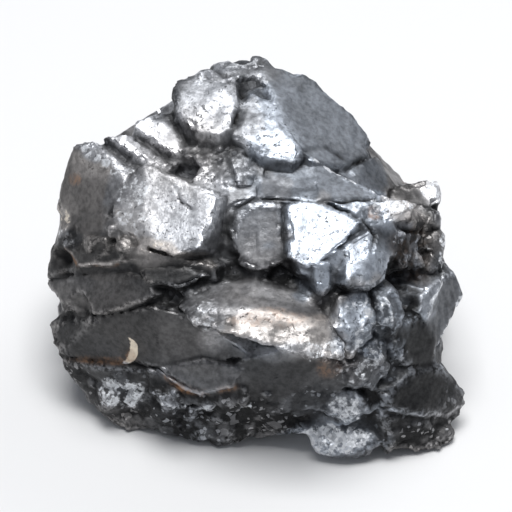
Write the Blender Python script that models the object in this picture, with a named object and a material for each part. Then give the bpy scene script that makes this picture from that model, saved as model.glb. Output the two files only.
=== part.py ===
"""A lump of raw shungite, broken from the rock and standing on its flat underside.

The stone is one solid. A many-sided core carries lumps, which are the convex hulls of
the corners of each fracture face, broad shell-like hollows are cut in its back, and
small chips are fused to it or knocked out of it where the fracture is crumbly. Lengths
are in millimetres until the last step, which brings the stone to metres. +Z is up, the
broken face looks towards -Y, and the origin is on the ground, under the middle of the
stone.
"""

import math
import random

import bmesh
import bpy
from mathutils import Euler, Matrix, Vector
from mathutils.bvhtree import BVHTree

MM = 0.001
MIDDLE_HEIGHT = 16.0  # height of the middle, which all lumps reach back towards
FACE_RISE = math.radians(40)  # the broken face looks this far above the level
ROOT_DEPTH = 0.55  # a lump's root lies at this share of its distance from the middle
ROOT_WIDTH = 0.82  # and is this share as wide as its face
STONE_GREY = (0.12, 0.12, 0.125, 1.0)
STONE_ROUGHNESS = 0.35
STONE_METALLIC = 0.6

MIDDLE = Vector((0.0, 0.0, MIDDLE_HEIGHT))
ACROSS = Vector((1.0, 0.0, 0.0))
UP = Vector((0.0, math.sin(FACE_RISE), math.cos(FACE_RISE)))
OUT = Vector((0.0, -math.cos(FACE_RISE), math.sin(FACE_RISE)))

# The core's corners, in X, Y and Z.
FOOT = [
    (-16, -10.5, 0), (-4, -13, 0), (12, -15, 0), (19.5, -10, 0),
    (19, 4, 0), (9, 12.5, 0), (-8, 12, 0), (-18, 4, 0),
]
LOWER_GIRDLE = [
    (-21.5, -9, 6), (-23, 3, 9), (-15, 15, 8), (3, 18, 9), (17, 12, 7),
    (22.4, 2, 9), (20.6, -9, 6), (9, -14.5, 5), (-5, -13, 6),
]
UPPER_GIRDLE = [
    (-23.5, -3, 18.5), (-22, 8, 20), (-11, 17, 21), (7, 18, 20), (17, 11, 20),
    (21, 0, 19), (18, -7, 17), (6, -11.5, 19), (-8, -10.5, 19), (-20, -8, 14),
]
CROWN = [
    (-20, 8, 24.8), (-12, 9, 27.0), (-8, 12.5, 31), (0, 14, 33.4), (6, 12.5, 31.2),
    (12, 7.5, 26.4), (16.5, 2.5, 21.8), (9, -4, 23.5), (-2, -4.5, 25), (-14, -3, 23.5),
]

# Lumps of the broken face. Each corner is (across, up, out) from the stone's middle.
FACE_LUMPS = {
    "crown_boulder": [
        (-9.7, 19.4, 5.7), (-9.0, 20.6, 4.8), (-5.2, 21.6, 4.6), (-2.2, 20.0, 5.9),
        (-1.5, 17.6, 7.3), (-2.4, 14.6, 8.9), (-4.2, 13.6, 9.3), (-7.0, 14.3, 8.7),
        (-9.3, 16.4, 7.2), (-6.2, 17.6, 7.3), (-4.0, 18.8, 6.8),
    ],
    "crest": [
        (-5.4, 22.3, 2.6), (-0.5, 23.9, 1.6), (1.9, 23.0, 2.0), (1.4, 21.2, 4.0),
        (-1.6, 20.6, 4.9), (-4.0, 21.2, 4.4),
    ],
    "saddle": [
        (-0.6, 19.0, 6.2), (1.8, 17.6, 7.0), (2.7, 16.2, 7.8), (3.9, 13.9, 9.0),
        (5.3, 11.6, 10.0), (4.2, 10.4, 10.4), (0.6, 11.2, 10.4), (-2.8, 13.7, 8.8),
        (-2.0, 16.5, 7.4), (1.2, 14.2, 9.3),
    ],
    "smooth_flank": [
        (0.6, 23.0, 2.4), (6.0, 21.6, 1.0), (11.8, 16.5, 0.8), (13.7, 13.9, 1.4),
        (12.9, 11.6, 4.0), (10.0, 9.8, 7.4), (6.4, 10.8, 9.3), (4.9, 12.6, 9.0),
        (2.2, 17.4, 7.2), (0.6, 20.3, 5.0),
    ],
    "flank_step": [
        (10.0, 9.4, 7.6), (13.2, 12.0, 3.6), (14.3, 11.8, 1.8), (16.2, 8.5, 2.0),
        (15.1, 6.8, 4.8), (11.5, 8.2, 7.6),
    ],
    "left_block": [
        (-13.9, 14.5, 6.1), (-13.8, 15.8, 5.5), (-12.5, 16.3, 5.3), (-10.7, 15.6, 5.6),
        (-8.9, 13.9, 6.4), (-8.6, 12.5, 7.1), (-9.0, 11.4, 7.6), (-10.5, 16.7, 4.4),
        (-9.0, 16.0, 3.6), (-7.6, 14.0, 4.0), (-7.8, 12.2, 5.2),
    ],
    "blade": [
        (-17.9, 13.8, 7.3), (-14.7, 14.2, 7.1), (-13.9, 13.2, 7.6), (-10.3, 10.5, 8.8),
        (-9.2, 8.7, 9.7), (-10.1, 8.9, 9.6), (-13.2, 11.2, 8.5), (-16.5, 13.0, 7.7),
    ],
    "left_shoulder": [
        (-20.7, 13.4, 5.4), (-18.8, 13.4, 6.3), (-17.6, 11.9, 7.0), (-14.5, 9.9, 8.6),
        (-14.7, 8.7, 9.2), (-17.2, 10.3, 7.8), (-19.7, 12.5, 6.0), (-21.4, 12.8, 4.2),
        (-22.6, 8.6, 2.6), (-23.4, 5.2, 2.4), (-21.2, 4.8, 5.0), (-17.0, 4.2, 9.0),
        (-16.2, 6.4, 9.3),
    ],
    "bright_face": [
        (-16.2, 6.8, 9.0), (-12.6, 10.6, 9.2), (-9.2, 8.3, 11.0), (-3.8, 6.8, 12.7),
        (-5.2, 3.0, 14.2), (-6.2, 0.9, 14.9), (-9.2, 0.0, 14.6), (-13.2, 1.6, 13.0),
        (-16.0, 3.4, 10.8),
    ],
    "middle_face": [
        (-3.0, 3.0, 12.6), (-1.8, 5.2, 12.6), (0.2, 6.3, 12.6), (2.8, 5.8, 12.7),
        (2.8, -0.9, 13.5), (0.2, -1.6, 13.6), (-1.8, -0.9, 13.3), (-2.5, 0.9, 13.0),
    ],
    "bright_block": [
        (3.5, 5.8, 12.4), (5.3, 6.0, 12.3), (7.8, 5.8, 12.2), (11.8, 3.8, 12.9),
        (10.0, 1.6, 14.1), (7.8, -0.2, 15.0), (5.7, -1.3, 15.6), (3.7, -0.2, 15.2),
    ],
    "shelf": [
        (0.0, 9.6, 9.4), (4.9, 10.0, 9.0), (6.5, 10.9, 8.2), (10.2, 8.9, 8.9),
        (14.2, 6.7, 8.8), (7.1, 5.9, 12.5), (0.2, 6.4, 12.2),
    ],
    "bright_strip": [
        (8.2, 6.3, 11.7), (15.1, 6.7, 10.3), (18.4, 6.0, 10.0), (17.3, 4.5, 10.9),
        (14.7, 3.8, 11.7), (11.8, 4.1, 12.1), (9.3, 5.2, 12.0),
    ],
    "right_horn": [
        (18.4, 8.7, 3.2), (20.2, 9.0, 2.9), (22.4, 8.9, 2.7), (23.0, 8.1, 3.1),
        (22.4, 6.7, 3.8), (20.5, 5.8, 4.4), (19.1, 7.0, 3.8),
    ],
    "right_wall": [
        (15.4, 5.4, 10.0), (18.2, 5.2, 7.4), (19.2, 4.6, 5.2), (19.0, -1.0, 6.2),
        (16.8, -1.6, 10.0), (14.9, 1.4, 11.4),
    ],
    "right_fin": [
        (18.8, 6.0, 5.0), (20.6, 5.6, 5.6), (21.6, 5.2, 4.4), (21.9, 3.0, 4.6),
        (21.4, -1.6, 6.2), (19.8, -1.8, 7.4), (18.9, 0.0, 6.4),
    ],
    "crescent": [
        (10.0, 1.2, 14.2), (13.1, 3.2, 12.9), (13.0, 0.4, 14.1), (15.4, 0.6, 11.6),
        (14.6, -2.6, 12.6), (12.0, -3.9, 15.6), (9.9, -3.2, 16.1),
    ],
    "chin": [
        (4.4, -0.8, 15.0), (10.0, 0.9, 14.2), (10.1, -3.6, 14.2), (7.4, -2.8, 14.4),
        (5.0, -2.2, 14.4),
    ],
    "finger": [
        (6.4, -0.9, 15.6), (8.0, -0.6, 15.4), (8.2, -3.2, 15.2), (7.4, -4.4, 15.0),
        (6.6, -3.4, 15.2),
    ],
    "strip_chips": [
        (11.4, 4.6, 12.4), (14.8, 4.4, 11.4), (16.2, 2.6, 10.6), (15.6, -0.2, 11.2),
        (13.2, 0.2, 12.8), (12.4, 3.0, 12.9),
    ],
    "ridge": [
        (-8.8, -5.6, 14.0), (-5.2, -3.2, 12.2), (-0.1, -2.6, 12.6), (5.3, -4.2, 13.0),
        (-6.4, -6.0, 15.3), (-1.0, -5.6, 15.9), (5.4, -6.8, 15.9), (8.2, -7.4, 15.2),
        (9.6, -10.6, 15.9), (6.4, -11.6, 17.4), (2.2, -9.8, 17.3), (-3.0, -8.2, 16.9),
        (-6.9, -7.4, 15.8),
    ],
    "left_notch_step": [
        (-24.5, 0.6, 1.6), (-22.8, 2.0, 4.4), (-17.0, 2.2, 10.2), (-16.8, 0.2, 10.4),
        (-20.6, -1.7, 6.8), (-24.5, -2.6, 2.4),
    ],
    "left_ledge": [
        (-24.8, -3.0, 1.8), (-20.5, -2.2, 6.6), (-14.2, -1.8, 11.8), (-11.8, -3.0, 12.9),
        (-11.4, -4.6, 13.1), (-17.6, -6.9, 9.8), (-22.1, -6.4, 5.4),
    ],
    "left_neck": [
        (-22.4, 5.4, 3.2), (-17.2, 4.8, 9.2), (-15.6, 3.8, 10.6), (-15.4, 1.8, 11.0),
        (-22.8, 2.0, 4.4),
    ],
    "under_ledge": [
        (-21.0, 1.0, 6.6), (-14.2, 1.2, 12.0), (-9.0, -0.2, 13.6), (-4.6, -1.0, 13.5),
        (-4.4, -2.8, 12.9), (-13.0, -2.2, 12.0), (-20.8, -2.0, 6.4),
    ],
    "brown_step": [
        (-13.2, -1.5, 12.3), (-8.0, -1.2, 13.5), (-5.2, -2.2, 13.7), (-8.6, -3.6, 14.0),
        (-12.2, -3.0, 13.2),
    ],
    "front_slab": [
        (-24.4, -8.0, 1.2), (-17.6, -6.9, 8.4), (-11.4, -5.6, 12.6), (-6.5, -6.8, 13.2),
        (-0.6, -11.2, 11.8), (-6.0, -12.0, 10.2), (-11.0, -12.6, 8.4),
        (-23.6, -11.6, 1.4),
    ],
    "valley_block": [
        (-8.3, 10.4, 9.2), (-6.5, 11.8, 8.6), (-3.2, 8.8, 10.2), (-3.4, 7.0, 11.8),
        (-6.8, 7.8, 11.4),
    ],
    "valley_floor": [
        (-8.4, 12.4, 7.4), (-2.6, 13.4, 7.8), (1.0, 11.4, 8.8), (0.6, 7.0, 11.2),
        (-3.4, 5.4, 12.0), (-7.8, 9.4, 9.8),
    ],
    "valley_tooth": [
        (-3.0, 11.2, 9.4), (-1.6, 11.6, 9.0), (0.2, 10.3, 9.4), (-0.5, 8.0, 11.0),
        (-2.1, 8.0, 11.4),
    ],
    "front_belly": [
        (-1.6, -11.6, 11.6), (3.0, -10.4, 13.0), (7.6, -11.2, 12.6), (10.4, -12.8, 11.2),
        (9.4, -17.0, 8.2), (2.0, -18.0, 7.4), (-4.0, -16.4, 8.2), (-3.4, -13.2, 10.2),
    ],
    "front_chip": [
        (-11.2, -12.7, 8.6), (-6.2, -11.6, 11.0), (-1.2, -12.6, 11.2), (-2.6, -14.8, 10.2),
        (-6.6, -15.4, 9.2),
    ],
    "front_shadow": [
        (-12.4, -13.0, 7.6), (-6.6, -15.0, 9.0), (-1.8, -14.8, 9.8), (-2.4, -16.8, 8.6),
        (-9.0, -16.8, 7.0), (-12.0, -15.4, 6.6),
    ],
    "left_foot": [
        (-23.4, -12.0, 1.2), (-21.9, -14.8, 0.2), (-18.7, -18.6, -1.4),
        (-16.1, -20.3, -0.2), (-9.6, -21.4, 1.4), (-7.6, -16.2, 6.8),
        (-11.4, -13.2, 7.6), (-17.6, -12.8, 5.4),
    ],
    "front_foot": [
        (-10.5, -14.2, 7.0), (-9.8, -21.3, 1.6), (-4.9, -22.2, 2.2), (-0.9, -21.2, 2.4),
        (6.5, -20.0, 4.6), (5.2, -15.0, 9.4), (-2.5, -15.4, 8.8),
    ],
    "bright_foot": [
        (4.6, -19.2, 5.0), (9.6, -18.4, 4.8), (14.0, -19.2, 5.2), (14.4, -21.8, 6.0),
        (9.6, -22.4, 6.5), (5.4, -21.8, 6.0), (8.2, -23.7, 4.4), (13.6, -23.6, 4.4),
    ],
    "right_lump": [
        (14.6, -16.0, 9.2), (17.8, -13.0, 8.2), (21.0, -12.6, 5.8), (24.7, -15.8, 1.6),
        (24.4, -18.4, 1.0), (19.0, -18.6, 6.6), (14.8, -17.6, 8.4),
    ],
    "right_lump_rim": [
        (14.4, -18.2, 7.6), (19.0, -18.6, 5.8), (24.2, -18.6, 0.8), (21.8, -22.0, 2.4),
        (15.2, -23.2, 4.6),
    ],
    "right_step": [
        (15.6, -7.6, 10.8), (18.4, -7.0, 9.0), (20.6, -9.6, 6.8), (20.8, -12.4, 5.6),
        (16.6, -12.4, 8.8), (15.2, -10.4, 10.2),
    ],
    "near_knob": [
        (9.2, -4.4, 13.9), (12.4, -4.0, 13.3), (13.2, -6.6, 13.2), (12.2, -8.2, 14.4),
        (12.8, -10.0, 12.0), (10.2, -10.8, 12.8), (8.8, -8.0, 15.2),
    ],
    "far_knob": [
        (13.2, -3.8, 12.8), (15.8, -4.0, 11.4), (16.4, -6.8, 11.6), (14.2, -7.2, 13.4),
        (15.6, -9.4, 10.8), (13.4, -8.6, 12.2),
    ],
    "low_knob": [
        (9.6, -10.8, 12.2), (13.4, -10.2, 11.4), (15.0, -12.6, 10.2), (13.6, -15.4, 9.4),
        (9.8, -14.4, 10.6),
    ],
    "foot_knob": [
        (8.2, -15.4, 9.4), (11.8, -15.6, 9.2), (12.8, -17.4, 8.2), (10.4, -19.0, 7.6),
        (7.8, -18.2, 7.8),
    ],
    "splinter": [
        (19.4, -3.8, 8.4), (21.8, -2.2, 6.0), (23.8, -1.2, 3.6), (24.7, -3.8, 2.8),
        (22.2, -8.4, 4.8), (20.6, -10.8, 6.2), (19.2, -7.4, 8.4),
    ],
    "splinter_side": [
        (18.8, -4.4, 8.8), (21.2, -2.6, 7.0), (20.6, -5.4, 7.8), (19.4, -7.6, 8.6),
        (18.6, -6.6, 9.2),
    ],
}

# Lumps of the sides and the back, with their corners in X, Y and Z.
BACK_LUMPS = {
    "back_slab": [
        (-13, 18.2, 10), (-10.5, 19.0, 20.5), (-4, 17.2, 27.5), (3, 18.4, 24.5),
        (3.5, 19.8, 13), (-3, 20.2, 8.5),
    ],
    "back_step": [
        (3.0, 18.6, 24.0), (9.6, 16.8, 23.5), (13.4, 16.2, 16.5), (9.4, 18.8, 11.5),
        (2.6, 20.2, 15.5),
    ],
    "back_ledge": [
        (-17, 14, 3), (-9, 17, 2), (3, 18.6, 2), (8, 17.4, 3.4), (5, 20.6, 9.2),
        (-8, 20.2, 8.2),
    ],
    "back_corner_ledge": [
        (7, 17.2, 2.2), (15.5, 12.6, 1.8), (18.6, 9.0, 3.0), (17.4, 12.4, 8.2),
        (9.5, 18.6, 7.4),
    ],
    "back_shoulder": [
        (8, 15.4, 25.0), (11.4, 12, 26.4), (17.0, 8.4, 20.8), (19.5, 11, 14.5),
        (14.5, 15.6, 13.5),
    ],
    "right_cheek": [
        (20.6, 6.5, 20.0), (21.4, -3, 17.0), (21.2, -4, 9.5), (23.4, 3, 9.0), (22.4, 8, 7),
        (20.6, 11, 14),
    ],
    "right_heel": [
        (21.4, -11, 1.2), (21.6, -4, 2), (22.4, 2, 1.8), (21.5, 7, 1.5), (21, 8.6, 6.5),
        (22.8, 2.4, 8.4),
    ],
    "left_cheek": [
        (-22.6, 9, 22), (-24.4, -1, 18.5), (-24.8, 0, 10.5), (-21.8, 11.5, 10),
        (-19, 14, 17.5),
    ],
    "left_back_block": [
        (-20.8, 12.6, 19.5), (-15.4, 16.6, 21.0), (-13.0, 18.4, 14.0), (-16.8, 16.4, 8.0),
        (-21.4, 11.8, 9.0),
    ],
    "left_heel": [
        (-20, -9, 1), (-22.8, -2, 1.6), (-18.6, 9.2, 1.2), (-20.2, 9.6, 8.2),
        (-24, 0, 8.8),
    ],
    "back_crown": [
        (-8.6, 14.6, 31.6), (-1, 16.0, 33.4), (5.4, 15.0, 31.4), (4, 17.6, 26.6),
        (-8, 17.2, 26.5),
    ],
    "left_crown": [
        (-20.2, 8.4, 25.2), (-13.6, 8.2, 27.4), (-9.8, 12.4, 26.2), (-9, 16, 24.8),
        (-13, 17.2, 21.5), (-20.4, 12.4, 21),
    ],
    "right_brow": [
        (16.2, 7.0, 21.4), (21.4, 4.8, 21.8), (22.0, 2.0, 18.8), (21.8, 8.0, 17.6),
        (18.0, 11.2, 18.2),
    ],
}

# Shell-like hollows of the sides and the back: the way from the middle in degrees
# round from +X and up from the level, then the radius and the depth of the hollow.
HOLLOWS = {
    "back_hollow": (98, 18, 22.0, 1.3),
    "back_upper_hollow": (72, 34, 14.0, 1.0),
    "back_left_hollow": (128, 8, 13.0, 0.9),
    "back_right_hollow": (52, 4, 12.0, 1.0),
    "right_hollow": (8, -2, 15.0, 1.1),
    "left_hollow": (178, 4, 16.0, 1.1),
    "left_back_hollow": (152, 14, 10.0, 0.8),
}
HOLLOW_CORNERS = 110
GOLDEN_ANGLE = math.pi * (3 - math.sqrt(5))  # spreads points evenly over a ball
BALL_JITTER = 0.3  # how far they stray, as a share of their spacing
HOLLOW_SEED = 3

# Where the fracture is crumbly: how many chips are fused and how many pits are cut, the
# range across and up the broken face, and the least and greatest half length.
CRUMBLE_ZONES = {
    "right_crumble": (12, 0, (8.5, 16.0), (-15.0, -9.0), 1.0, 1.9),
    "valley": (4, 0, (-7.0, -1.5), (8.5, 12.5), 0.9, 1.5),
    "left_ledge_rim": (8, 2, (-22.5, -12.0), (0.2, 3.0), 1.0, 1.9),
    "foot": (22, 3, (-19.0, 5.0), (-20.5, -15.5), 1.2, 2.3),
    "right_foot": (7, 2, (14.5, 22.5), (-22.0, -19.6), 1.0, 1.9),
    "right_rim": (5, 1, (15.5, 20.0), (-2.5, 3.0), 0.9, 1.6),
    "crest_rim": (4, 1, (-6.0, 1.5), (18.0, 22.0), 0.9, 1.5),
}
CRUMBLE_SEED = 7
CHIP_CORNERS = 12
CHIP_BREADTH = 0.85
CHIP_THICKNESS = 0.55
CHIP_TILT = math.radians(25)
CHIP_SINK = 0.18  # how deep a chip's middle lies, as a share of its half length
PIT_CORNERS = 13
PIT_DEPTH = 0.22  # as a share of the pit's radius
FAR = 60.0  # a distance clear of the stone

# Scallops are the small shell-like scars along the sharp edges.
SCALLOPS = 64
SCALLOP_SEED = 15
SCALLOP_EDGES = (math.radians(35), math.radians(100))  # angles between faces chipped
SCALLOP_SHORTEST = 2.0  # the shortest edge that is chipped
SCALLOP_RADIUS = (1.2, 2.6)
SCALLOP_DEPTH = (0.18, 0.36)
SCALLOP_CORNERS = 20

FOOT_CUT = 0.4  # height at which the underside is broken off flat

# The Booleans leave slivers, which are merged or turned until every face is sound.
LEAST_EDGE = 0.15
LEAST_WIDTH = 0.02
TRIM_ROUNDS = 4


def on_face(across, up, out):
    """The point that far across, up and out of the broken face from the middle."""
    return MIDDLE + across * ACROSS + up * UP + out * OUT


def solid_from_points(name, points):
    """A helper object holding the convex hull of the points."""
    form = bmesh.new()
    for point in points:
        form.verts.new(point)
    hull = bmesh.ops.convex_hull(form, input=form.verts)
    inside = set(hull["geom_interior"]) | set(hull["geom_unused"])
    bmesh.ops.delete(form, geom=list(inside), context="VERTS")
    bmesh.ops.recalc_face_normals(form, faces=form.faces)
    mesh = bpy.data.meshes.new(name)
    form.to_mesh(mesh)
    form.free()
    solid = bpy.data.objects.new(name, mesh)
    bpy.context.scene.collection.objects.link(solid)
    return solid


def lump(name, corners):
    """A fracture face's corners, with a narrower copy of them near the middle as its root."""
    centre = sum(corners, Vector()) / len(corners)
    root_centre = MIDDLE + ROOT_DEPTH * (centre - MIDDLE)
    roots = [root_centre + ROOT_WIDTH * (corner - centre) for corner in corners]
    return solid_from_points(name, corners + roots)


def volume_of(mesh):
    """The volume of a mesh that is closed and in one piece, or None."""
    form = bmesh.new()
    form.from_mesh(mesh)
    closed = all(edge.is_manifold for edge in form.edges)
    form.verts.ensure_lookup_table()
    reached = {form.verts[0]} if closed else set()
    fresh = list(reached)
    while fresh:
        corner = fresh.pop()
        near = {edge.other_vert(corner) for edge in corner.link_edges} - reached
        reached |= near
        fresh.extend(near)
    whole = closed and len(reached) == len(form.verts)
    volume = form.calc_volume(signed=True)
    form.free()
    return volume if whole else None


def combine(stone, other, operation):
    """Fuses the other solid to the stone, or cuts it out, and removes the other.

    A result that is open or in pieces, or that gains or loses more than the other solid
    holds, is left out, and the stone stays as it was.
    """
    before = volume_of(stone.data)
    most = volume_of(other.data)
    joining = stone.modifiers.new(other.name, "BOOLEAN")
    joining.object = other
    joining.operation = operation
    joining.solver = "EXACT"
    graph = bpy.context.evaluated_depsgraph_get()
    mesh = bpy.data.meshes.new_from_object(stone.evaluated_get(graph))
    stone.modifiers.remove(joining)
    after = volume_of(mesh)
    if after is not None and abs(after - before) <= most:
        stone.data = mesh
    else:
        print("left out", other.name)
    bpy.data.objects.remove(other)


def stone_body():
    """The core with every lump fused to it."""
    core = FOOT + LOWER_GIRDLE + UPPER_GIRDLE + CROWN
    stone = solid_from_points("shungite_stone", [Vector(corner) for corner in core])
    for name, corners in FACE_LUMPS.items():
        combine(stone, lump(name, [on_face(*corner) for corner in corners]), "UNION")
    for name, corners in BACK_LUMPS.items():
        combine(stone, lump(name, [Vector(corner) for corner in corners]), "UNION")
    return stone


def uneven_ball(name, centre, radius, corners, dice):
    """A ball with flat sides of uneven size, which cuts a shell-like hollow."""
    turn = Euler([dice.uniform(0, math.tau) for _ in range(3)]).to_matrix()
    jitter = BALL_JITTER * math.sqrt(4 / corners)
    points = []
    for number in range(corners):
        height = 1 - (2 * number + 1) / corners
        around = number * GOLDEN_ANGLE
        across = math.sqrt(1 - height * height)
        way = Vector((across * math.cos(around), across * math.sin(around), height))
        way += Vector([dice.gauss(0, jitter) for _ in range(3)])
        points.append(centre + radius * (turn @ way.normalized()))
    return solid_from_points(name, points)


def cut_hollows(stone, dice):
    """Dishes the broad faces of the sides and the back."""
    for name, (around, rise, radius, depth) in HOLLOWS.items():
        surface = BVHTree.FromObject(stone, bpy.context.evaluated_depsgraph_get())
        turn = Matrix.Rotation(math.radians(around), 3, "Z")
        way = turn @ Matrix.Rotation(-math.radians(rise), 3, "Y") @ Vector((1, 0, 0))
        place, normal, _, _ = surface.ray_cast(MIDDLE + FAR * way, -way)
        middle = place + (radius - depth) * normal
        cutter = uneven_ball(name, middle, radius, HOLLOW_CORNERS, dice)
        combine(stone, cutter, "DIFFERENCE")


def random_chip(name, centre, normal, size, dice):
    """A splinter with flat sides, lying along the surface and half sunk in it."""
    spin = Matrix.Rotation(dice.uniform(0, math.tau), 3, "Z")
    lean = Matrix.Rotation(dice.uniform(-CHIP_TILT, CHIP_TILT), 3, "X")
    turn = normal.to_track_quat("Z", "Y").to_matrix() @ spin @ lean
    points = []
    for _ in range(CHIP_CORNERS):
        way = Vector([dice.gauss(0, 1) for _ in range(3)]).normalized()
        flattened = Vector((way.x, way.y * CHIP_BREADTH, way.z * CHIP_THICKNESS))
        points.append(centre + size * (turn @ flattened - CHIP_SINK * normal))
    return solid_from_points(name, points)


def crumble(stone, zone, dice):
    """Fuses the chips and then cuts the pits of one zone of the broken face."""
    chips, pits, across, up, small, large = zone
    for number in range(chips + pits):
        surface = BVHTree.FromObject(stone, bpy.context.evaluated_depsgraph_get())
        start = on_face(dice.uniform(*across), dice.uniform(*up), FAR)
        place, normal, _, _ = surface.ray_cast(start, -OUT)
        size = dice.uniform(small, large)
        if place is None:
            continue
        if number < chips:
            chip = random_chip(f"chip_{number}", place, normal, size, dice)
            combine(stone, chip, "UNION")
        else:
            middle = place + size * (1 - PIT_DEPTH) * normal
            pit = uneven_ball(f"pit_{number}", middle, size, PIT_CORNERS, dice)
            combine(stone, pit, "DIFFERENCE")


def sharp_edges(stone):
    """(start, end, way out) of each sharp outward edge of the stone, from left to right."""
    form = bmesh.new()
    form.from_mesh(stone.data)
    least, most = SCALLOP_EDGES
    found = []
    for edge in form.edges:
        if edge.calc_length() < SCALLOP_SHORTEST or not edge.is_convex:
            continue
        if least < edge.calc_face_angle(0) < most:
            out = (edge.link_faces[0].normal + edge.link_faces[1].normal).normalized()
            start, end = sorted((vertex.co.copy() for vertex in edge.verts), key=tuple)
            found.append((start, end, out))
    form.free()
    return sorted(found, key=lambda edge: (*edge[0], *edge[1]))


def scallop_edges(stone, dice):
    """Chips the sharp edges, longer edges being hit more often."""
    edges = sharp_edges(stone)
    lengths = [(end - start).length for start, end, _ in edges]
    for number in range(SCALLOPS):
        start, end, out = dice.choices(edges, lengths)[0]
        place = start.lerp(end, dice.random())
        radius = dice.uniform(*SCALLOP_RADIUS)
        middle = place + (radius - dice.uniform(*SCALLOP_DEPTH)) * out
        scar = uneven_ball(f"scallop_{number}", middle, radius, SCALLOP_CORNERS, dice)
        combine(stone, scar, "DIFFERENCE")


def break_off_foot(stone):
    """Cuts the underside off flat, which is the face that the stone rests on."""
    corners = [
        Vector((x, y, z)) for x in (-FAR, FAR) for y in (-FAR, FAR) for z in (-FAR, FOOT_CUT)
    ]
    combine(stone, solid_from_points("foot_cut", corners), "DIFFERENCE")


def merge_short_edges(form):
    """Merges the ends of short edges wherever the surface stays closed."""
    for edge in [edge for edge in form.edges if edge.calc_length() < LEAST_EDGE]:
        if not edge.is_valid:
            continue
        start, end = edge.verts
        beside_start = {link.other_vert(start) for link in start.link_edges}
        beside_end = {link.other_vert(end) for link in end.link_edges}
        if len(beside_start & beside_end) == 2:
            middle = (start.co + end.co) / 2
            bmesh.ops.pointmerge(form, verts=[start, end], merge_co=middle)


def longest_edge(face):
    return max(face.edges, key=lambda edge: edge.calc_length())


def is_thin(face):
    return 2 * face.calc_area() < LEAST_WIDTH * longest_edge(face).calc_length()


def turn_thin_faces(form):
    """Turns the long edge of each thin triangle, which shares its area out otherwise."""
    for face in [face for face in form.faces if is_thin(face)]:
        if not face.is_valid:
            continue
        longest = longest_edge(face)
        tips = [(set(side.verts) - set(longest.verts)).pop() for side in longest.link_faces]
        if form.edges.get(tips) is None:
            bmesh.ops.rotate_edges(form, edges=[longest], use_ccw=False)


def trim_slivers(stone):
    """Leaves no edge and no face too small for a closed solid of flat faces."""
    form = bmesh.new()
    form.from_mesh(stone.data)
    bmesh.ops.triangulate(form, faces=form.faces)
    for _ in range(TRIM_ROUNDS):
        merge_short_edges(form)
        turn_thin_faces(form)
    form.to_mesh(stone.data)
    form.free()


def stand_on_origin(stone):
    """Puts the middle of the underside of the stone's box at the origin, in metres."""
    low = [min(corner.co[axis] for corner in stone.data.vertices) for axis in range(3)]
    high = [max(corner.co[axis] for corner in stone.data.vertices) for axis in range(3)]
    foot = Vector(((low[0] + high[0]) / 2, (low[1] + high[1]) / 2, low[2]))
    stone.data.transform(Matrix.Scale(MM, 4) @ Matrix.Translation(-foot))


def stone_material():
    """Silvery shungite: nearly black carbon with a metallic shine."""
    material = bpy.data.materials.new("silvery_shungite")
    material.use_nodes = True
    surface = material.node_tree.nodes["Principled BSDF"]
    surface.inputs["Base Color"].default_value = STONE_GREY
    surface.inputs["Roughness"].default_value = STONE_ROUGHNESS
    surface.inputs["Metallic"].default_value = STONE_METALLIC
    return material


def main():
    for old in list(bpy.data.objects):
        bpy.data.objects.remove(old)
    stone = stone_body()
    cut_hollows(stone, random.Random(HOLLOW_SEED))
    dice = random.Random(CRUMBLE_SEED)
    for zone in CRUMBLE_ZONES.values():
        crumble(stone, zone, dice)
    scallop_edges(stone, random.Random(SCALLOP_SEED))
    break_off_foot(stone)
    trim_slivers(stone)
    stand_on_origin(stone)
    stone.data.materials.clear()
    stone.data.materials.append(stone_material())


main()
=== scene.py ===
# %% [markdown]
# # A lump of raw shungite
#
# Shungite is a rock of nearly pure carbon. Its silvery kind breaks like glass: broad,
# shell-like faces that shine like dull metal, with crumbly stretches between them where
# the break followed small cracks. The lesson builds one lump. The solid gives its large
# faces and ledges, and the script adds the fine relief and the finish.

import math

import bpy
import numpy as np
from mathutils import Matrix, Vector


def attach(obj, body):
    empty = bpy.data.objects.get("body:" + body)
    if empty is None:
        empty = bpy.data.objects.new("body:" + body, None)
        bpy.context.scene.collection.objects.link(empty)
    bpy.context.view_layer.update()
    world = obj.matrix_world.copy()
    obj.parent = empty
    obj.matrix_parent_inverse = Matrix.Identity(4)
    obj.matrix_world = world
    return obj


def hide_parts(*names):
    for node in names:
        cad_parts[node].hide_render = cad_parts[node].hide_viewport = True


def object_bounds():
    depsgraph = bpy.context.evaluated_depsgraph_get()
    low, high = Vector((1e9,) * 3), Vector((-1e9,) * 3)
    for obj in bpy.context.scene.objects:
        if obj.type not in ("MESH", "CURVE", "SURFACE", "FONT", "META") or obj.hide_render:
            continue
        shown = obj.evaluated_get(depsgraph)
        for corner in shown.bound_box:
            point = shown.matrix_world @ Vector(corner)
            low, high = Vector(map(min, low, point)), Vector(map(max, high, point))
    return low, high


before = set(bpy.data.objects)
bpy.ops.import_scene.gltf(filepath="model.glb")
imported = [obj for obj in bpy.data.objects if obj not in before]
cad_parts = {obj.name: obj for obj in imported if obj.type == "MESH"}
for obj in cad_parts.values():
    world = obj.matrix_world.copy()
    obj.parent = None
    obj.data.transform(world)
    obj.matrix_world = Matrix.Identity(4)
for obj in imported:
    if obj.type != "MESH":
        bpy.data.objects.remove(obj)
cad_low, cad_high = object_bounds()
low, high = np.array(cad_low), np.array(cad_high)
print("the solid's box is", np.round(1000 * (high - low), 1), "mm")

# %% [markdown]
# ## Places on the broken face
#
# The best side of the stone is the broken face that looks forward and up. It is easier to
# say where something lies on it in its own directions than in X, Y and Z: so far across,
# so far up the face, and so far out of it, measured from a middle point in the stone.

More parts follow.
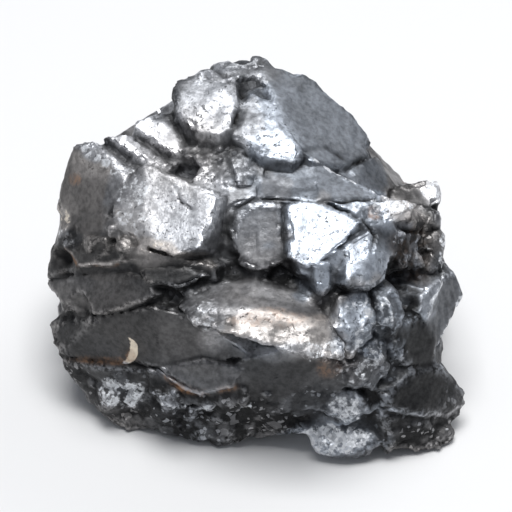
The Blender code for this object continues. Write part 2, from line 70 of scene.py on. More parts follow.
# %% Directions of the broken face
MM = 0.001
FACE_RISE = math.radians(40)
ACROSS = np.array((1.0, 0.0, 0.0))
UP = np.array((0.0, math.sin(FACE_RISE), math.cos(FACE_RISE)))
OUT = np.array((0.0, -math.cos(FACE_RISE), math.sin(FACE_RISE)))
AXES = np.stack([ACROSS, UP, OUT])
MIDDLE = np.array((0.05, 0.1, 15.6)) * MM


def on_face(points):
    """(across, up, out) of points in millimetres: their offset from the middle, measured
    along each of the face's three directions."""
    return (points - MIDDLE) / MM @ AXES.T


print("the broken face looks", np.round(OUT, 2))

# %% [markdown]
# ## One skin for the whole stone
#
# A stone has no seam, so its skin should have none either. A globe of meridians crowds its
# points at the poles. A cube's six sides blown up to a ball don't: each side is a grid of
# two parameters, and the grids meet edge to edge. The ball is then pressed to a flat lens
# that lies inside the stone, and from every point of the lens a ray runs out, square to
# it. Over the broad side of the lens the rays stand close to parallel, like the hairs of a
# brush, so they reach down into the notches of the broken face.

# %% A lens of rays
SIDE = 100  # quads along each side of the cube
FRONT_PULL = 0.36  # how far the points are drawn to the broken side, in radii of the ball
LENS_HALF = np.array((20.2, 13.6, 3.4)) * MM  # half its width across, up and out
LENS_SINK = 1.0 * MM  # how far its middle lies behind the stone's


def cube_grid(count):
    """Directions and quads of a cube's six sides. The parameters a and b run from -45 to 45
    degrees, and a point of a side lies at (1, tan a, tan b), turned to that side."""
    angle = np.linspace(-math.pi / 4, math.pi / 4, count + 1)
    a, b = np.meshgrid(np.tan(angle), np.tan(angle), indexing="ij")
    one = np.ones_like(a)
    sides = [(one, a, b), (-one, -a, b), (-a, one, b), (a, -one, b), (a, b, one), (a, -b, -one)]
    points = np.array([np.stack(side, axis=-1) for side in sides])
    number = np.arange(points.shape[0] * (count + 1) ** 2).reshape(6, count + 1, count + 1)
    corners = (number[:, :-1, :-1], number[:, 1:, :-1], number[:, 1:, 1:], number[:, :-1, 1:])
    quads = np.stack([corner.ravel() for corner in corners], axis=-1)
    return points.reshape(-1, 3), quads


def unit(vectors):
    """Each vector divided by its length."""
    return vectors / np.linalg.norm(vectors, axis=-1, keepdims=True)


def weld(points, quads, grain):
    """Makes one point of all those that share a cell of that grain. Gives the numbers of
    the points that are kept, and the quads or triangles with the new numbers."""
    keys = np.round(points / grain).astype(np.int64)
    _, first, place = np.unique(keys, axis=0, return_index=True, return_inverse=True)
    return first, place.ravel()[quads]


cube_points, cube_quads = cube_grid(SIDE)
ball = unit(cube_points)
kept, quads = weld(ball, cube_quads, 1e-6)
ball = unit(ball[kept] + (0, 0, FRONT_PULL))
starts = MIDDLE - LENS_SINK * OUT + ball * LENS_HALF @ AXES
ways = unit(ball / LENS_HALF) @ AXES
print(len(ways), "rays and", len(quads), "quads")

# %% [markdown]
# ## Finding the solid's surface
#
# Each point of the skin is where its ray leaves the solid. A ray runs past the three sides
# of a triangle on the same hand, or it misses the triangle, and each of the three tests is
# one product of six numbers. Whole blocks of rays are tested at once, and only against the
# triangles near them. Blender could cast the rays one at a time, but this way also says at
# once which triangle each point lies on.

# %% The solid's triangles
def triangles_of(thing):
    """The corners of a mesh's triangles, relative to the middle."""
    mesh = thing.data
    mesh.calc_loop_triangles()
    points = np.empty(len(mesh.vertices) * 3)
    mesh.vertices.foreach_get("co", points)
    index = np.empty(len(mesh.loop_triangles) * 3, np.int32)
    mesh.loop_triangles.foreach_get("vertices", index)
    return points.reshape(-1, 3)[index].reshape(-1, 3, 3) - MIDDLE


solid = triangles_of(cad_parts["shungite_stone"])
print(len(solid), "triangles in the solid")

# %% Where each ray leaves the solid
BLOCK = 12  # quads along a block of rays
SPREAD_MARGIN = 1.1  # a bundle is taken to grow a little faster than it does


def block_numbers(count, block):
    """Which block of its cube side each point of the grid belongs to."""
    step = np.minimum(np.arange(count + 1) // block, (count - 1) // block)
    per_side = step[-1] + 1
    square = step[:, None] * per_side + step[None, :]
    return (np.arange(6)[:, None, None] * per_side**2 + square).ravel()


def near_triangles(starts, ways, centres, radii):
    """The triangles that can meet a bundle of rays: those whose centres lie closer to the
    bundle's middle ray than their own radius plus the bundle's, which grows on the way."""
    start, way = starts.mean(axis=0), unit(ways.mean(axis=0))
    along = (centres - start) @ way
    apart = np.linalg.norm(centres - start - along[:, None] * way, axis=1)
    wide = np.linalg.norm(starts - start, axis=1).max()
    spread = np.linalg.norm(ways - way, axis=1).max()
    wide_there = wide + SPREAD_MARGIN * spread * (along + wide).clip(0)
    return (along > -radii - wide) & (apart < radii + wide_there)


def leaving_points(starts, ways, blocks, corners):
    """How far each ray runs inside the solid, and the triangle where it leaves.

    A ray from o along d passes the side from a to b on the side that d.(a x b) + (o x d).(b - a)
    has the sign of. If all three are positive, it leaves through the triangle, at the
    distance (a - o).n / d.n along it, where n is the triangle's way out."""
    a, b, c = corners[:, 0], corners[:, 1], corners[:, 2]
    sides = [
        np.concatenate([np.cross(p, q), q - p], axis=1) for p, q in ((a, b), (b, c), (c, a))
    ]
    sides = np.stack(sides, axis=1)
    normal = np.cross(b - a, c - a)
    plane = np.einsum("ij,ij->i", a, normal)
    centres = corners.mean(axis=1)
    radii = np.linalg.norm(corners - centres[:, None], axis=2).max(axis=1)
    rays = np.concatenate([ways, np.cross(starts, ways)], axis=1)
    # A ray along the edge of two triangles must meet one of them, so a hair's miss counts.
    slack = -1e-9 * np.linalg.norm(sides[:, :, :3], axis=2).max()
    reach, met = np.zeros(len(ways)), np.zeros(len(ways), int)
    for block in np.unique(blocks):
        mine = np.flatnonzero(blocks == block)
        near = np.flatnonzero(near_triangles(starts[mine], ways[mine], centres, radii))
        hands = np.einsum("pj,tsj->pts", rays[mine], sides[near], optimize=True).min(axis=2)
        rise = ways[mine] @ normal[near].T
        ahead = plane[near] - starts[mine] @ normal[near].T
        leaves = (hands >= slack) & (rise > 0)
        far = np.where(leaves, ahead / np.where(leaves, rise, 1), 0)
        best = far.argmax(axis=1)
        reach[mine], met[mine] = far[np.arange(len(mine)), best], near[best]
    return reach, met


blocks = block_numbers(SIDE, BLOCK)[kept]
reach, met = leaving_points(starts - MIDDLE, ways, blocks, solid)
print("missed", int((reach <= 0).sum()), "rays; the reach is",
      *np.round(np.percentile(reach, (0, 100)) / MM, 1), "mm")

# %% [markdown]
# ## Choked gaps
#
# Between two blocks of a fracture lies a gap, and it is never clean: crumbs choke it. So
# gaps that are only a few rays wide are filled to a small depth. The reach is spread from
# each ray to its neighbours a few times and then drawn back as often, which closes narrow
# gaps and nothing else, and the skin lies no deeper than a little below that.

# %% Closing narrow gaps
GAP_ROUNDS = 6  # a gap up to twice as many rays wide is choked
GAP_DEPTH = 0.9 * MM


def edges_of(faces):
    """Each pair of points that an edge joins, once, and the edges of each face."""
    turned = np.roll(faces, -1, axis=1)
    sides = np.stack([faces.ravel(), turned.ravel()], axis=1)
    edges, index = np.unique(np.sort(sides, axis=1), axis=0, return_inverse=True)
    return edges, index.reshape(faces.shape)


def spread(values, edges, choose, rounds):
    """Gives each point the highest or the lowest value among itself and its neighbours."""
    for _ in range(rounds):
        chosen = values.copy()
        choose.at(chosen, edges[:, 0], values[edges[:, 1]])
        choose.at(chosen, edges[:, 1], values[edges[:, 0]])
        values = chosen
    return values


ray_edges, _ = edges_of(quads)
closed = spread(reach, ray_edges, np.maximum, GAP_ROUNDS)
closed = spread(closed, ray_edges, np.minimum, GAP_ROUNDS)
filled = np.maximum(reach, closed - GAP_DEPTH)
choked = (filled > reach + 1e-6).astype(float)
skin = starts + ways * filled[:, None]
print("choked gaps under", int(choked.sum()), "rays")

# %% [markdown]
# ## Faces and creases
#
# Fracture faces are flat in the middle and damaged at their edges, so the relief has to
# know where the edges are. Triangles that lie nearly in one plane are one face. A point of
# the skin whose neighbour lies on another face is on a crease, and the distance from the
# creases will spread along the skin from point to point.

# %% Flat faces of the solid
FACET_ANGLE = math.radians(11)  # triangles that turn less than this are one face


def spread_lowest(label, pairs):
    """Gives each thing the lowest label among those that it is paired with, however far."""
    while True:
        lower = label.copy()
        np.minimum.at(lower, pairs[:, 0], label[pairs[:, 1]])
        np.minimum.at(lower, pairs[:, 1], label[pairs[:, 0]])
        if (lower == label).all():
            return label
        label = lower


def face_numbers(corners):
    """The number of the flat face that each triangle belongs to, and its way out."""
    count = len(corners)
    normal = unit(np.cross(corners[:, 1] - corners[:, 0], corners[:, 2] - corners[:, 0]))
    _, place = weld(corners.reshape(-1, 3), np.arange(3 * count).reshape(-1, 3), 1e-6)
    sides = np.concatenate([place[:, [0, 1]], place[:, [1, 2]], place[:, [2, 0]]])
    sides = np.sort(sides, axis=1)
    owner = np.tile(np.arange(count), 3)
    order = np.lexsort((sides[:, 1], sides[:, 0]))
    shared = (sides[order][1:] == sides[order][:-1]).all(axis=1)
    pairs = np.stack([owner[order][:-1][shared], owner[order][1:][shared]], axis=1)
    level = np.einsum("ij,ij->i", normal[pairs[:, 0]], normal[pairs[:, 1]])
    pairs = pairs[level > math.cos(FACET_ANGLE)]
    return spread_lowest(np.arange(count), pairs), normal


face_of_triangle, triangle_normal = face_numbers(solid)
face = face_of_triangle[met]
print(len(np.unique(face)), "faces of the solid are met")

# %% [markdown]
# ## Triangles that fit the ledges
#
# Few rays meet a wall that lies along them, and its quads come out long and thin. So each
# quad is split along its shorter diagonal, and then every edge that is too long is halved,
# again and again, until the walls have as many points as the faces. An edge is halved for
# both of its triangles at once, so no gap can open. The walls are then averaged, which
# takes the teeth off their rims.

# %% Two triangles a quad
def two_triangles(points, quads):
    """Splits each quad along the shorter of its two diagonals."""
    a, b, c, d = quads.T
    first = np.linalg.norm(points[a] - points[c], axis=1)
    second = np.linalg.norm(points[b] - points[d], axis=1)
    one = np.stack([a, b, c, a, c, d], axis=1)
    other = np.stack([a, b, d, b, c, d], axis=1)
    return np.where((first < second)[:, None], one, other).reshape(-1, 3)


triangles = two_triangles(skin, quads)
edges, _ = edges_of(triangles)
print(len(triangles), "triangles and", len(edges), "edges")

# %% Points on creases
CREASE_ANGLE = math.radians(20)  # a gentler turn between two faces isn't a crease

facing = triangle_normal[met]
turn = np.einsum("ij,ij->i", facing[edges[:, 0]], facing[edges[:, 1]])
across = (face[edges[:, 0]] != face[edges[:, 1]]) & (turn < math.cos(CREASE_ANGLE))
on_crease = np.zeros(len(skin), bool)
on_crease[edges[across].ravel()] = True
print(int(on_crease.sum()), "points lie on creases")

# %% Halving long edges
LONGEST = 0.72 * MM  # a longer edge is halved
HALVINGS = 4  # rounds


def halve(points, triangles, longest):
    """Puts a point at the middle of each edge longer than the limit. A triangle with one,
    two or three such edges becomes two, three or four. Also gives the halved edges."""
    edges, mine = edges_of(triangles)
    long = np.linalg.norm(points[edges[:, 0]] - points[edges[:, 1]], axis=1) > longest
    number = np.full(len(edges), -1)
    number[long] = len(points) + np.arange(long.sum())
    middle = number[mine]
    cuts = (middle >= 0).sum(axis=1)
    # Turn each triangle so that its first edge is cut and, of two, its last isn't.
    first = np.where(cuts == 2, (middle < 0).argmax(axis=1) + 1, (middle >= 0).argmax(axis=1))
    turned = (first[:, None] + np.arange(3)) % 3
    a, b, c = np.take_along_axis(triangles, turned, axis=1).T
    ab, bc, ca = np.take_along_axis(middle, turned, axis=1).T
    pieces = [
        np.stack([a, b, c], axis=1)[cuts == 0],
        np.stack([a, ab, c, ab, b, c], axis=1)[cuts == 1],
        np.stack([ab, b, bc, a, ab, bc, a, bc, c], axis=1)[cuts == 2],
        np.stack([a, ab, ca, ab, b, bc, ca, bc, c, ab, bc, ca], axis=1)[cuts == 3],
    ]
    triangles = np.concatenate([piece.reshape(-1, 3) for piece in pieces])
    return np.concatenate([points, points[edges[long]].mean(axis=1)]), triangles, edges[long]


walls = np.zeros(len(skin))
for _ in range(HALVINGS):
    skin, triangles, halved = halve(skin, triangles, LONGEST)
    same = face[halved[:, 0]] == face[halved[:, 1]]
    face = np.concatenate([face, np.where(same, face[halved[:, 0]], -1)])
    on_crease = np.concatenate([on_crease, np.zeros(len(halved), bool)])
    walls = np.concatenate([walls, np.ones(len(halved))])
    choked = np.concatenate([choked, choked[halved].min(axis=1)])
edges, _ = edges_of(triangles)
print(len(skin), "points and", len(triangles), "triangles;", int(walls.sum()), "are on walls")

# %% [markdown]
# ## Averages along the skin
#
# Averaging a point with its neighbours is a soft file: it takes the teeth off the walls
# and the keenness off the edges. Relief is raised along the way out of the skin, and since
# that way jumps at a crease, it is averaged too. The same averaging tells ridges from
# grooves: a ridge stands out of its averaged surroundings. How far a point lies from the
# nearest crease is handed on from neighbour to neighbour.

# %% Averages
def neighbour_mean(values, edges):
    """The mean of each point's neighbours, summed over the edges by bincount."""
    ends = np.concatenate([edges[:, 0], edges[:, 1]])
    others = np.concatenate([edges[:, 1], edges[:, 0]])
    flat = values.reshape(len(values), -1)
    count = np.bincount(ends, minlength=len(values))
    sums = [np.bincount(ends, flat[others, k], len(values)) for k in range(flat.shape[1])]
    return (np.stack(sums, axis=1) / count[:, None]).reshape(values.shape)


def averaged(values, edges, rounds):
    """Moves each value half way to its neighbours' mean, so many times."""
    for _ in range(rounds):
        values = (values + neighbour_mean(values, edges)) / 2
    return values


WALL_ROUNDS = 3
EDGE_ROUNDS = 1  # on the whole skin

wall_share = np.clip(2 * averaged(np.maximum(walls, choked), edges, 2), 0, 1)[:, None]
for _ in range(WALL_ROUNDS):
    skin = skin + wall_share * (neighbour_mean(skin, edges) - skin) / 2
skin = averaged(skin, edges, EDGE_ROUNDS)
print("walls and gaps are averaged on", int((wall_share > 0.5).sum()), "points")

# %% Ways out of the skin
def ways_out(points, triangles):
    """The unit normal at each point: the cross products of its triangles' edges, added."""
    a, b, c = (points[triangles[:, k]] for k in range(3))
    across = np.cross(b - a, c - a)
    total = [
        np.bincount(triangles.ravel(), np.repeat(across[:, k], 3), len(points))
        for k in range(3)
    ]
    return unit(np.stack(total, axis=1))


OUTWARD_ROUNDS = 3
RIDGE_ROUNDS = 10

outward = unit(averaged(ways_out(skin, triangles), edges, OUTWARD_ROUNDS))
ridge = np.einsum("ij,ij->i", skin - averaged(skin, edges, RIDGE_ROUNDS), outward) / MM
print("ridges stand out up to", round(float(ridge.max()), 2), "mm")

# %% How far each point is from a crease
CREEP_ROUNDS = 24


def creep(distance, edges, lengths):
    """Spreads a distance along the skin: a point is no further than its neighbour is,
    plus the length between them."""
    for _ in range(CREEP_ROUNDS):
        np.minimum.at(distance, edges[:, 0], distance[edges[:, 1]] + lengths)
        np.minimum.at(distance, edges[:, 1], distance[edges[:, 0]] + lengths)
    return distance


lengths = np.linalg.norm(skin[edges[:, 0]] - skin[edges[:, 1]], axis=1) / MM
from_crease = creep(np.where(on_crease, 0.0, np.inf), edges, lengths)
from_crease = np.minimum(from_crease, CREEP_ROUNDS * float(np.median(lengths)))
print("an edge is", round(float(np.median(lengths)), 2), "mm long; faces reach",
      round(float(from_crease.max()), 1), "mm from their creases")

# %% [markdown]
# ## Chance that repeats
#
# A stone needs chance, but each run must make the same stone. So every chance value is
# worked out from its place: the cell of space that a point lies in is stirred into a
# number, together with a salt, which is any number that sets one pattern apart from the
# others. Two patterns are made of that. Waves blend the numbers of a cell's corners.
# Flakes are small round scales, each leaning its own way, and where two overlap the
# higher one covers the other, which is how crumbly carbon breaks.

# %% Chance from places
def stir(cells, salt):
    """A number from 0 to 1 for each cell: its three numbers are multiplied by large odd
    numbers, added, and mixed with their own higher bits."""
    x, y, z = (cells[..., k].astype(np.int64).astype(np.uint64) for k in range(3))
    mixed = x * np.uint64(73856093) + y * np.uint64(19349663) + z * np.uint64(83492791)
    mixed += np.uint64(salt * 2654435761)
    for shift, factor in ((15, 2246822519), (13, 3266489917)):
        mixed = (mixed & np.uint64(0xFFFFFFFF)) * np.uint64(factor)
        mixed ^= (mixed & np.uint64(0xFFFFFFFF)) >> np.uint64(shift)
    return (mixed & np.uint64(0xFFFFFF)).astype(float) / 0xFFFFFF


def stir3(cells, salt):
    """Three numbers from 0 to 1 for each cell."""
    return np.stack([stir(cells, salt + k) for k in range(3)], axis=-1)


def ease_in(values, start, end):
    """0 up to start, 1 from end on, and 3t^2 - 2t^3 between."""
    t = np.clip((values - start) / (end - start), 0, 1)
    return t * t * (3 - 2 * t)


def waves(points, size, salt):
    """Smooth waves from -1 to 1: the eight corners' numbers, blended by 3t^2 - 2t^3."""
    where = points / size
    cell = np.floor(where)
    ease = ease_in(where - cell, 0, 1)
    total = np.zeros(len(points))
    for corner in np.ndindex(2, 2, 2):
        share = np.where(corner, ease, 1 - ease).prod(axis=1)
        total += share * stir(cell + corner, salt)
    return 2 * total - 1


def rough_waves(points, size, salt, layers=3):
    """Waves with finer waves on them, each layer half the size and half the height."""
    return sum(waves(points, size / 2**k, salt + 11 * k) / 2**k for k in range(layers))


FLAKE_REACH = 0.5  # cells from a flake's middle to where its rim turns down
FLAKE_RIM = 2.0  # how steeply it turns down
FLAKE_LEAN = 1.3
FLAKE_STEP = 0.6  # how much higher one flake can stand than another
FLAKE_LEVEL = 0.75  # the height that counts as level, about the mean


def flakes(points, size, salt):
    """The height of the highest flake at each point, in sizes: its own height, plus the
    offset from its middle times its lean, less the square of how far the point is past its
    rim. Also gives the flake's own chance number."""
    where = points / size
    cell = np.floor(where)
    highest, chance = np.full(len(points), -np.inf), np.zeros(len(points))
    for step in np.ndindex(3, 3, 3):
        seed_cell = cell + step - 1
        offset = where - seed_cell - stir3(seed_cell, salt)
        past = np.maximum(np.linalg.norm(offset, axis=1) - FLAKE_REACH, 0)
        lean = FLAKE_LEAN * (2 * stir3(seed_cell, salt + 3) - 1)
        own = stir(seed_cell, salt + 6)
        tilt = np.einsum("ij,ij->i", offset, lean)
        height = FLAKE_STEP * own + tilt - FLAKE_RIM * past**2
        higher = height > highest
        highest, chance = np.where(higher, height, highest), np.where(higher, own, chance)
    return highest - FLAKE_LEVEL, chance


BORDER_WAVE = 2.6  # mm, the length of the waves that make borders uneven

place = skin / MM
border = rough_waves(place, BORDER_WAVE, 31)
print("waves run from", *np.round(np.percentile(waves(place, 3, 1), (0, 100)), 2))

# %% [markdown]
# ## Crumbly and smooth stretches
#
# Where the stone broke along small cracks it crumbled into flakes: at its foot, down its
# right side, and along some rims. The rest broke clean. Crumbly stretches could be painted
# by hand, but an oval with an uneven border is quick to move and looks the same from each
# run to the next. Walls and choked gaps are half crumbly everywhere.

# %% Crumbly stretches
# name: (across, up, half width, half height, how crumbly)
CRUMBLY = {
    "right side": (12.6, -11.2, 4.6, 4.4, 1.0),
    "beside the knobs": (15.2, -6.4, 3.6, 3.4, 0.6),
    "under the right horn": (19.3, 0.6, 3.0, 3.6, 0.35),
    "left rim": (-19.0, 1.2, 4.6, 0.9, 0.6),
    "bright foot": (9.4, -20.6, 5.4, 2.6, 0.3),
    "above the bright foot": (7.0, -17.0, 4.6, 2.2, 0.6),
    "rim of the right lump": (20.0, -20.6, 7.0, 2.1, 0.9),
    "valley": (-3.6, 10.6, 4.6, 2.2, 0.5),
    "crest": (-4.0, 21.6, 4.6, 1.5, 0.5),
    "chin": (12.0, -4.4, 3.0, 1.2, 0.5),
    "strip chips": (13.0, 4.6, 1.8, 1.2, 0.8),
    "ridge tip": (-5.4, -6.4, 3.0, 2.0, 0.7),
    "ridge band": (3.0, -9.0, 6.4, 1.6, 0.3),
    "left strip": (-17.4, 10.6, 3.6, 1.6, 0.3),
    "right wall": (18.6, 1.6, 2.8, 3.6, 0.9),
    "near knob": (11.2, -7.4, 2.6, 3.6, 0.3),
}
FOOT_LEFT, FOOT_RIGHT = -12.9, -17.2  # how far up the face the crumbly foot band reaches
FOOT_ENDS = (-22, 8)  # where across the face those two heights are
FOOT_FADE = (4.0, 7.0)  # where across the face the band fades out
FOOT_TOP = 5.0  # how high it reaches round the sides and the back
FOOT_WAVE, BACK_WAVE = 1.2, 2.5  # mm, how uneven its top is in front and round the back
FOOT_CRUMBLE, BACK_CRUMBLE, WALL_CRUMBLE = 0.9, 0.7, 0.5
FRONT_DEPTH = (-1.0, 2.0)  # mm out of the middle, between which the broken face sets in
OVAL_BORDER = (0.7, 1.15)  # where an oval starts to fade and where it is gone, in radii
OVAL_WAVE = 0.3  # how uneven that is, in radii


def oval(places, across, up, wide, tall):
    """1 inside an oval on the broken face and 0 outside, with an uneven border."""
    reach = np.hypot((places[:, 0] - across) / wide, (places[:, 1] - up) / tall)
    return 1 - ease_in(reach + OVAL_WAVE * border, *OVAL_BORDER)


def ovals(places, named):
    """The strongest of some named ovals at each point."""
    strongest = np.zeros(len(places))
    for across, up, wide, tall, strength in named.values():
        strongest = np.maximum(strongest, strength * oval(places, across, up, wide, tall))
    return strongest


flat = on_face(skin)
front = ease_in(flat[:, 2], *FRONT_DEPTH)
foot_line = np.interp(flat[:, 0], FOOT_ENDS, (FOOT_LEFT, FOOT_RIGHT))
front_foot = front * ease_in(foot_line - flat[:, 1] + FOOT_WAVE * border, -0.4, 0.8)
front_foot *= 1 - ease_in(flat[:, 0], *FOOT_FADE)
round_foot = (1 - front) * ease_in(FOOT_TOP - place[:, 2] + BACK_WAVE * border, -0.8, 1.2)
foot = np.maximum(FOOT_CRUMBLE * front_foot, BACK_CRUMBLE * round_foot)
crumble = np.maximum(front * ovals(flat, CRUMBLY), foot)
crumble = np.maximum(crumble, WALL_CRUMBLE * wall_share[:, 0])
print("crumbly on", round(100 * float((crumble > 0.5).mean())), "% of the points")

# %% [markdown]
# ## Bends that aren't edges
#
# In two places the solid has an edge where the real face only bends, and the light glides
# over it. A wider bevel would take more off the solid's other edges than it should. So the
# skin is averaged with its surroundings in those two places alone, and the bruises that
# edges get are left out there.

# %% Bends
# name: (across, up, half width, half height, how soft)
BENDS = {
    "left end of the bright face": (-13.4, 5.2, 2.8, 4.0, 1.0),
    "brow of the ridge": (1.6, -6.4, 7.4, 1.9, 0.8),
}
BEND_ROUNDS = 24

bend = front * ovals(flat, BENDS)
skin = skin + bend[:, None] * (averaged(skin, edges, BEND_ROUNDS) - skin)
place = skin / MM
print("bends are softened on", int((bend > 0.5).sum()), "points")

# %% [markdown]
# ## Relief
#
# Clean faces are slightly dished, like the inside of a shell, with faint ripples that
# spread from where the break began. Their edges are bruised, and chipped by single flakes.
# All of it goes inwards more than outwards, so that the stone stays in the solid's box.

# %% Dished and rippled faces
DISH_SLOPE = 0.075
DISH_LEAST = 0.3  # the share of that slope that every face has at least
DISH_REACH = 3.0  # mm from the crease to where a face is flat again
SWELL = (0.11, 5.0)  # height and length of the broad swell, in mm
MOTTLE = (0.028, 1.0)  # and of the small one
SWELL_FADE = (0.0, 2.0)  # mm from a crease, between which the broad swell sets in
FINE_FADE = (0.1, 1.2)  # and the small swell and the ripples
RIPPLE_LENGTH = (1.1, 2.6)  # the shortest and the longest
RIPPLE_HEIGHT = 0.026
RIPPLE_START = 9.0  # mm from a face's middle to where its break began
RIPPLE_BEND = (0.5, 4.0)  # how far waves bend the rings, and over what length, in mm

face_cell = np.stack([face, face * 0, face * 0], axis=1)  # one cell for a whole face


def face_chance(salt):
    """One chance number for every point of a face."""
    return stir(face_cell, salt)


def face_means(values):
    """The mean of the values over each face, given to each of its points."""
    _, index = np.unique(face, return_inverse=True)
    return (np.bincount(index, values) / np.bincount(index))[index]


def ripples():
    """Rings round a point beside each face: the sine of the distance from that point over
    the ripple's length, which differs from face to face."""
    centre = np.stack([face_means(place[:, k]) for k in range(3)], axis=1)
    aside = unit(stir3(face_cell, 41) - 0.5)
    length = np.interp(face_chance(45), (0, 1), RIPPLE_LENGTH)
    rings = np.linalg.norm(place - centre - RIPPLE_START * aside, axis=1)
    bent = rings + RIPPLE_BEND[0] * waves(place, RIPPLE_BEND[1], 46)
    return np.sin(2 * math.pi * bent / length)


clean = 1 - crumble
away = ease_in(from_crease, *FINE_FADE)
dish = -DISH_SLOPE * (DISH_LEAST + face_chance(51)) * np.minimum(from_crease, DISH_REACH)
swell = SWELL[0] * rough_waves(place, SWELL[1], 52) * ease_in(from_crease, *SWELL_FADE)
mottle = MOTTLE[0] * rough_waves(place, MOTTLE[1], 54) * away
ripple = RIPPLE_HEIGHT * face_chance(53) * ripples() * away
relief = clean * (dish + swell + mottle + ripple)
print("faces are dished up to", round(float(-dish.min()), 2), "mm")

# %% Bruised edges
EDGE_REACH = (0.15, 0.9)  # mm from a crease, between which a bruise fades out
EDGE_DEPTH = 0.36
CHIP_SIZE = 1.5
CHIP_LEVEL, CHIP_WAVE = 0.3, 0.35  # a flake lower than this leaves a chip
RIDGE_HEIGHT = (0.015, 0.16)  # mm above the averaged skin: from here, and fully from there
GROOVE_DEPTH = (0.02, 0.16)  # and below it

height, _ = flakes(place, CHIP_SIZE, 61)
ridged = ease_in(ridge, *RIDGE_HEIGHT)
grooved = ease_in(-ridge, *GROOVE_DEPTH)
at_edge = (1 - bend) * (1 - ease_in(from_crease, *EDGE_REACH))
chipped = ease_in(CHIP_LEVEL - height + CHIP_WAVE * border, 0.0, 0.8)
bruise = -EDGE_DEPTH * ridged * at_edge * chipped
relief += clean * bruise
print("edges lose up to", round(float(-bruise.min()), 2), "mm")

# %% [markdown]
# ## Flakes on flakes
#
# Crumbly carbon breaks into flakes, and they break into smaller ones. Three layers of the
# flakes from above do that, each about half the size of the last. A few of each layer are
# picked by their chance number for painted glints, and the rims that stand out are marked
# for painted glints too. The finish takes both up.

# %% Flakes on flakes
# (size and height in mm, how bright its bright ones are, salt)
FLAKE_LAYERS = ((2.4, 0.6, 0.4, 71), (1.25, 0.42, 0.65, 81), (0.65, 0.22, 0.9, 91))
FLAKE_WARP = 0.2  # how much their shapes are bent, in sizes
FLAKE_SINK = 0.1  # mm that all flakes are lowered
BRIGHT_FLAKES = (0.90, 0.97)  # bright from this chance number, and fully from that one
RIM_ROUNDS = 6
RIM_HEIGHT = (0.06, 0.22)  # mm above the surroundings: from here, and fully from there

broken = np.zeros(len(skin))
glint = np.zeros(len(skin))
for size, tall, brightness, salt in FLAKE_LAYERS:
    height, chance = flakes(place + FLAKE_WARP * size * border[:, None], size, salt)
    broken += tall * height
    glint = np.maximum(glint, ease_in(chance, *BRIGHT_FLAKES) * brightness)
relief += crumble * (broken - FLAKE_SINK)
flake_rim = ease_in(broken - averaged(broken, edges, RIM_ROUNDS), *RIM_HEIGHT)
print("flakes stand from", *np.round(np.percentile(broken, (0, 100)), 2), "mm")

# %% [markdown]
# ## Seams and rims
#
# Some lines on the broken face are worth placing one by one: the seams where two blocks meet,
# and the thin rims that stand up between them. Each is a run of straight pieces, and a
# point's distance from it is the least distance from any piece. Its cross-section is a bell
# curve. Waves bend the line, so that it isn't straight, and break it up along its length.

# %% Seams and rims
# name: (height in mm, half width in mm, the corners as (across, up))
LINES = {
    "boulder and saddle": (-0.45, 0.35, ((-1.8, 20.0), (-1.5, 17.6), (-2.5, 14.6))),
    "under the crest": (-0.4, 0.3, ((-5.6, 20.6), (-2.6, 19.8), (-0.4, 20.2), (0.8, 19.2))),
    "flank step": (-0.35, 0.25, ((9.2, 9.4), (11.2, 10.4), (13.6, 11.8))),
    "flank seam": (-0.2, 0.25, ((5.6, 11.8), (8.2, 12.4), (10.6, 10.6))),
    "shelf rim": (0.3, 0.22, ((6.0, 10.7), (9.2, 9.0), (14.3, 6.4))),
    "shelf seam": (-0.3, 0.2, ((0.4, 6.5), (7.0, 6.2), (14.0, 6.3))),
    "strip seam": (-0.35, 0.22, ((8.7, 5.6), (11.6, 4.2), (13.2, 2.2), (12.8, 0.6))),
    "bright face seam": (-0.16, 0.12, ((-9.4, 8.0), (-8.4, 6.4), (-7.4, 5.2))),
    "wall seam": (-0.3, 0.3, ((16.2, 3.4), (18.2, 2.6), (21.0, 3.2))),
    "middle rim": (0.16, 0.15, ((-2.3, 2.2), (-1.5, 4.8), (0.4, 5.7), (2.8, 5.3))),
    "left band rim": (0.26, 0.17, ((-21.6, 0.9), (-20.3, -0.9), (-16.0, -0.7), (-13.4, -0.2))),
    "left ledge dent": (-0.8, 0.9, ((-22.6, -0.2), (-21.4, -0.9))),
    "lump rim": (0.14, 0.16, ((15.0, -17.6), (18.9, -18.2), (22.0, -18.4), (24.0, -17.4))),
    "foot arch": (0.5, 0.26, ((6.6, -18.7), (9.6, -18.9), (11.8, -17.4), (14.0, -17.0),
                              (14.6, -18.8))),
    "chip foot": (0.2, 0.16, ((-11.1, -13.0), (-8.6, -14.5), (-6.2, -15.2), (-2.4, -14.7))),
    "splinter edge": (0.12, 0.2, ((24.4, -3.8), (22.3, -7.8), (20.8, -10.2))),
    "splinter near edge": (0.15, 0.2, ((21.5, -2.0), (20.4, -4.4), (19.4, -6.7))),
    "near knob edge": (0.18, 0.18, ((12.4, -4.6), (12.3, -6.7), (11.4, -8.6))),
    "far knob edge": (0.18, 0.18, ((14.2, -4.6), (15.0, -7.0))),
    "foot rim": (0.25, 0.2, ((-10.4, -16.8), (-7.4, -17.1), (-4.8, -16.8))),
}


def line_distance(places, corners):
    """The least distance from a run of straight pieces. On each piece, the nearest point
    is at t = (p - a).(b - a) / |b - a|^2, held between 0 and 1."""
    nearest = np.full(len(places), np.inf)
    for start, end in zip(np.array(corners[:-1]), np.array(corners[1:])):
        along = end - start
        t = np.clip((places - start) @ along / (along @ along), 0, 1)
        nearest = np.minimum(nearest, np.linalg.norm(places - start - t[:, None] * along, axis=1))
    return nearest


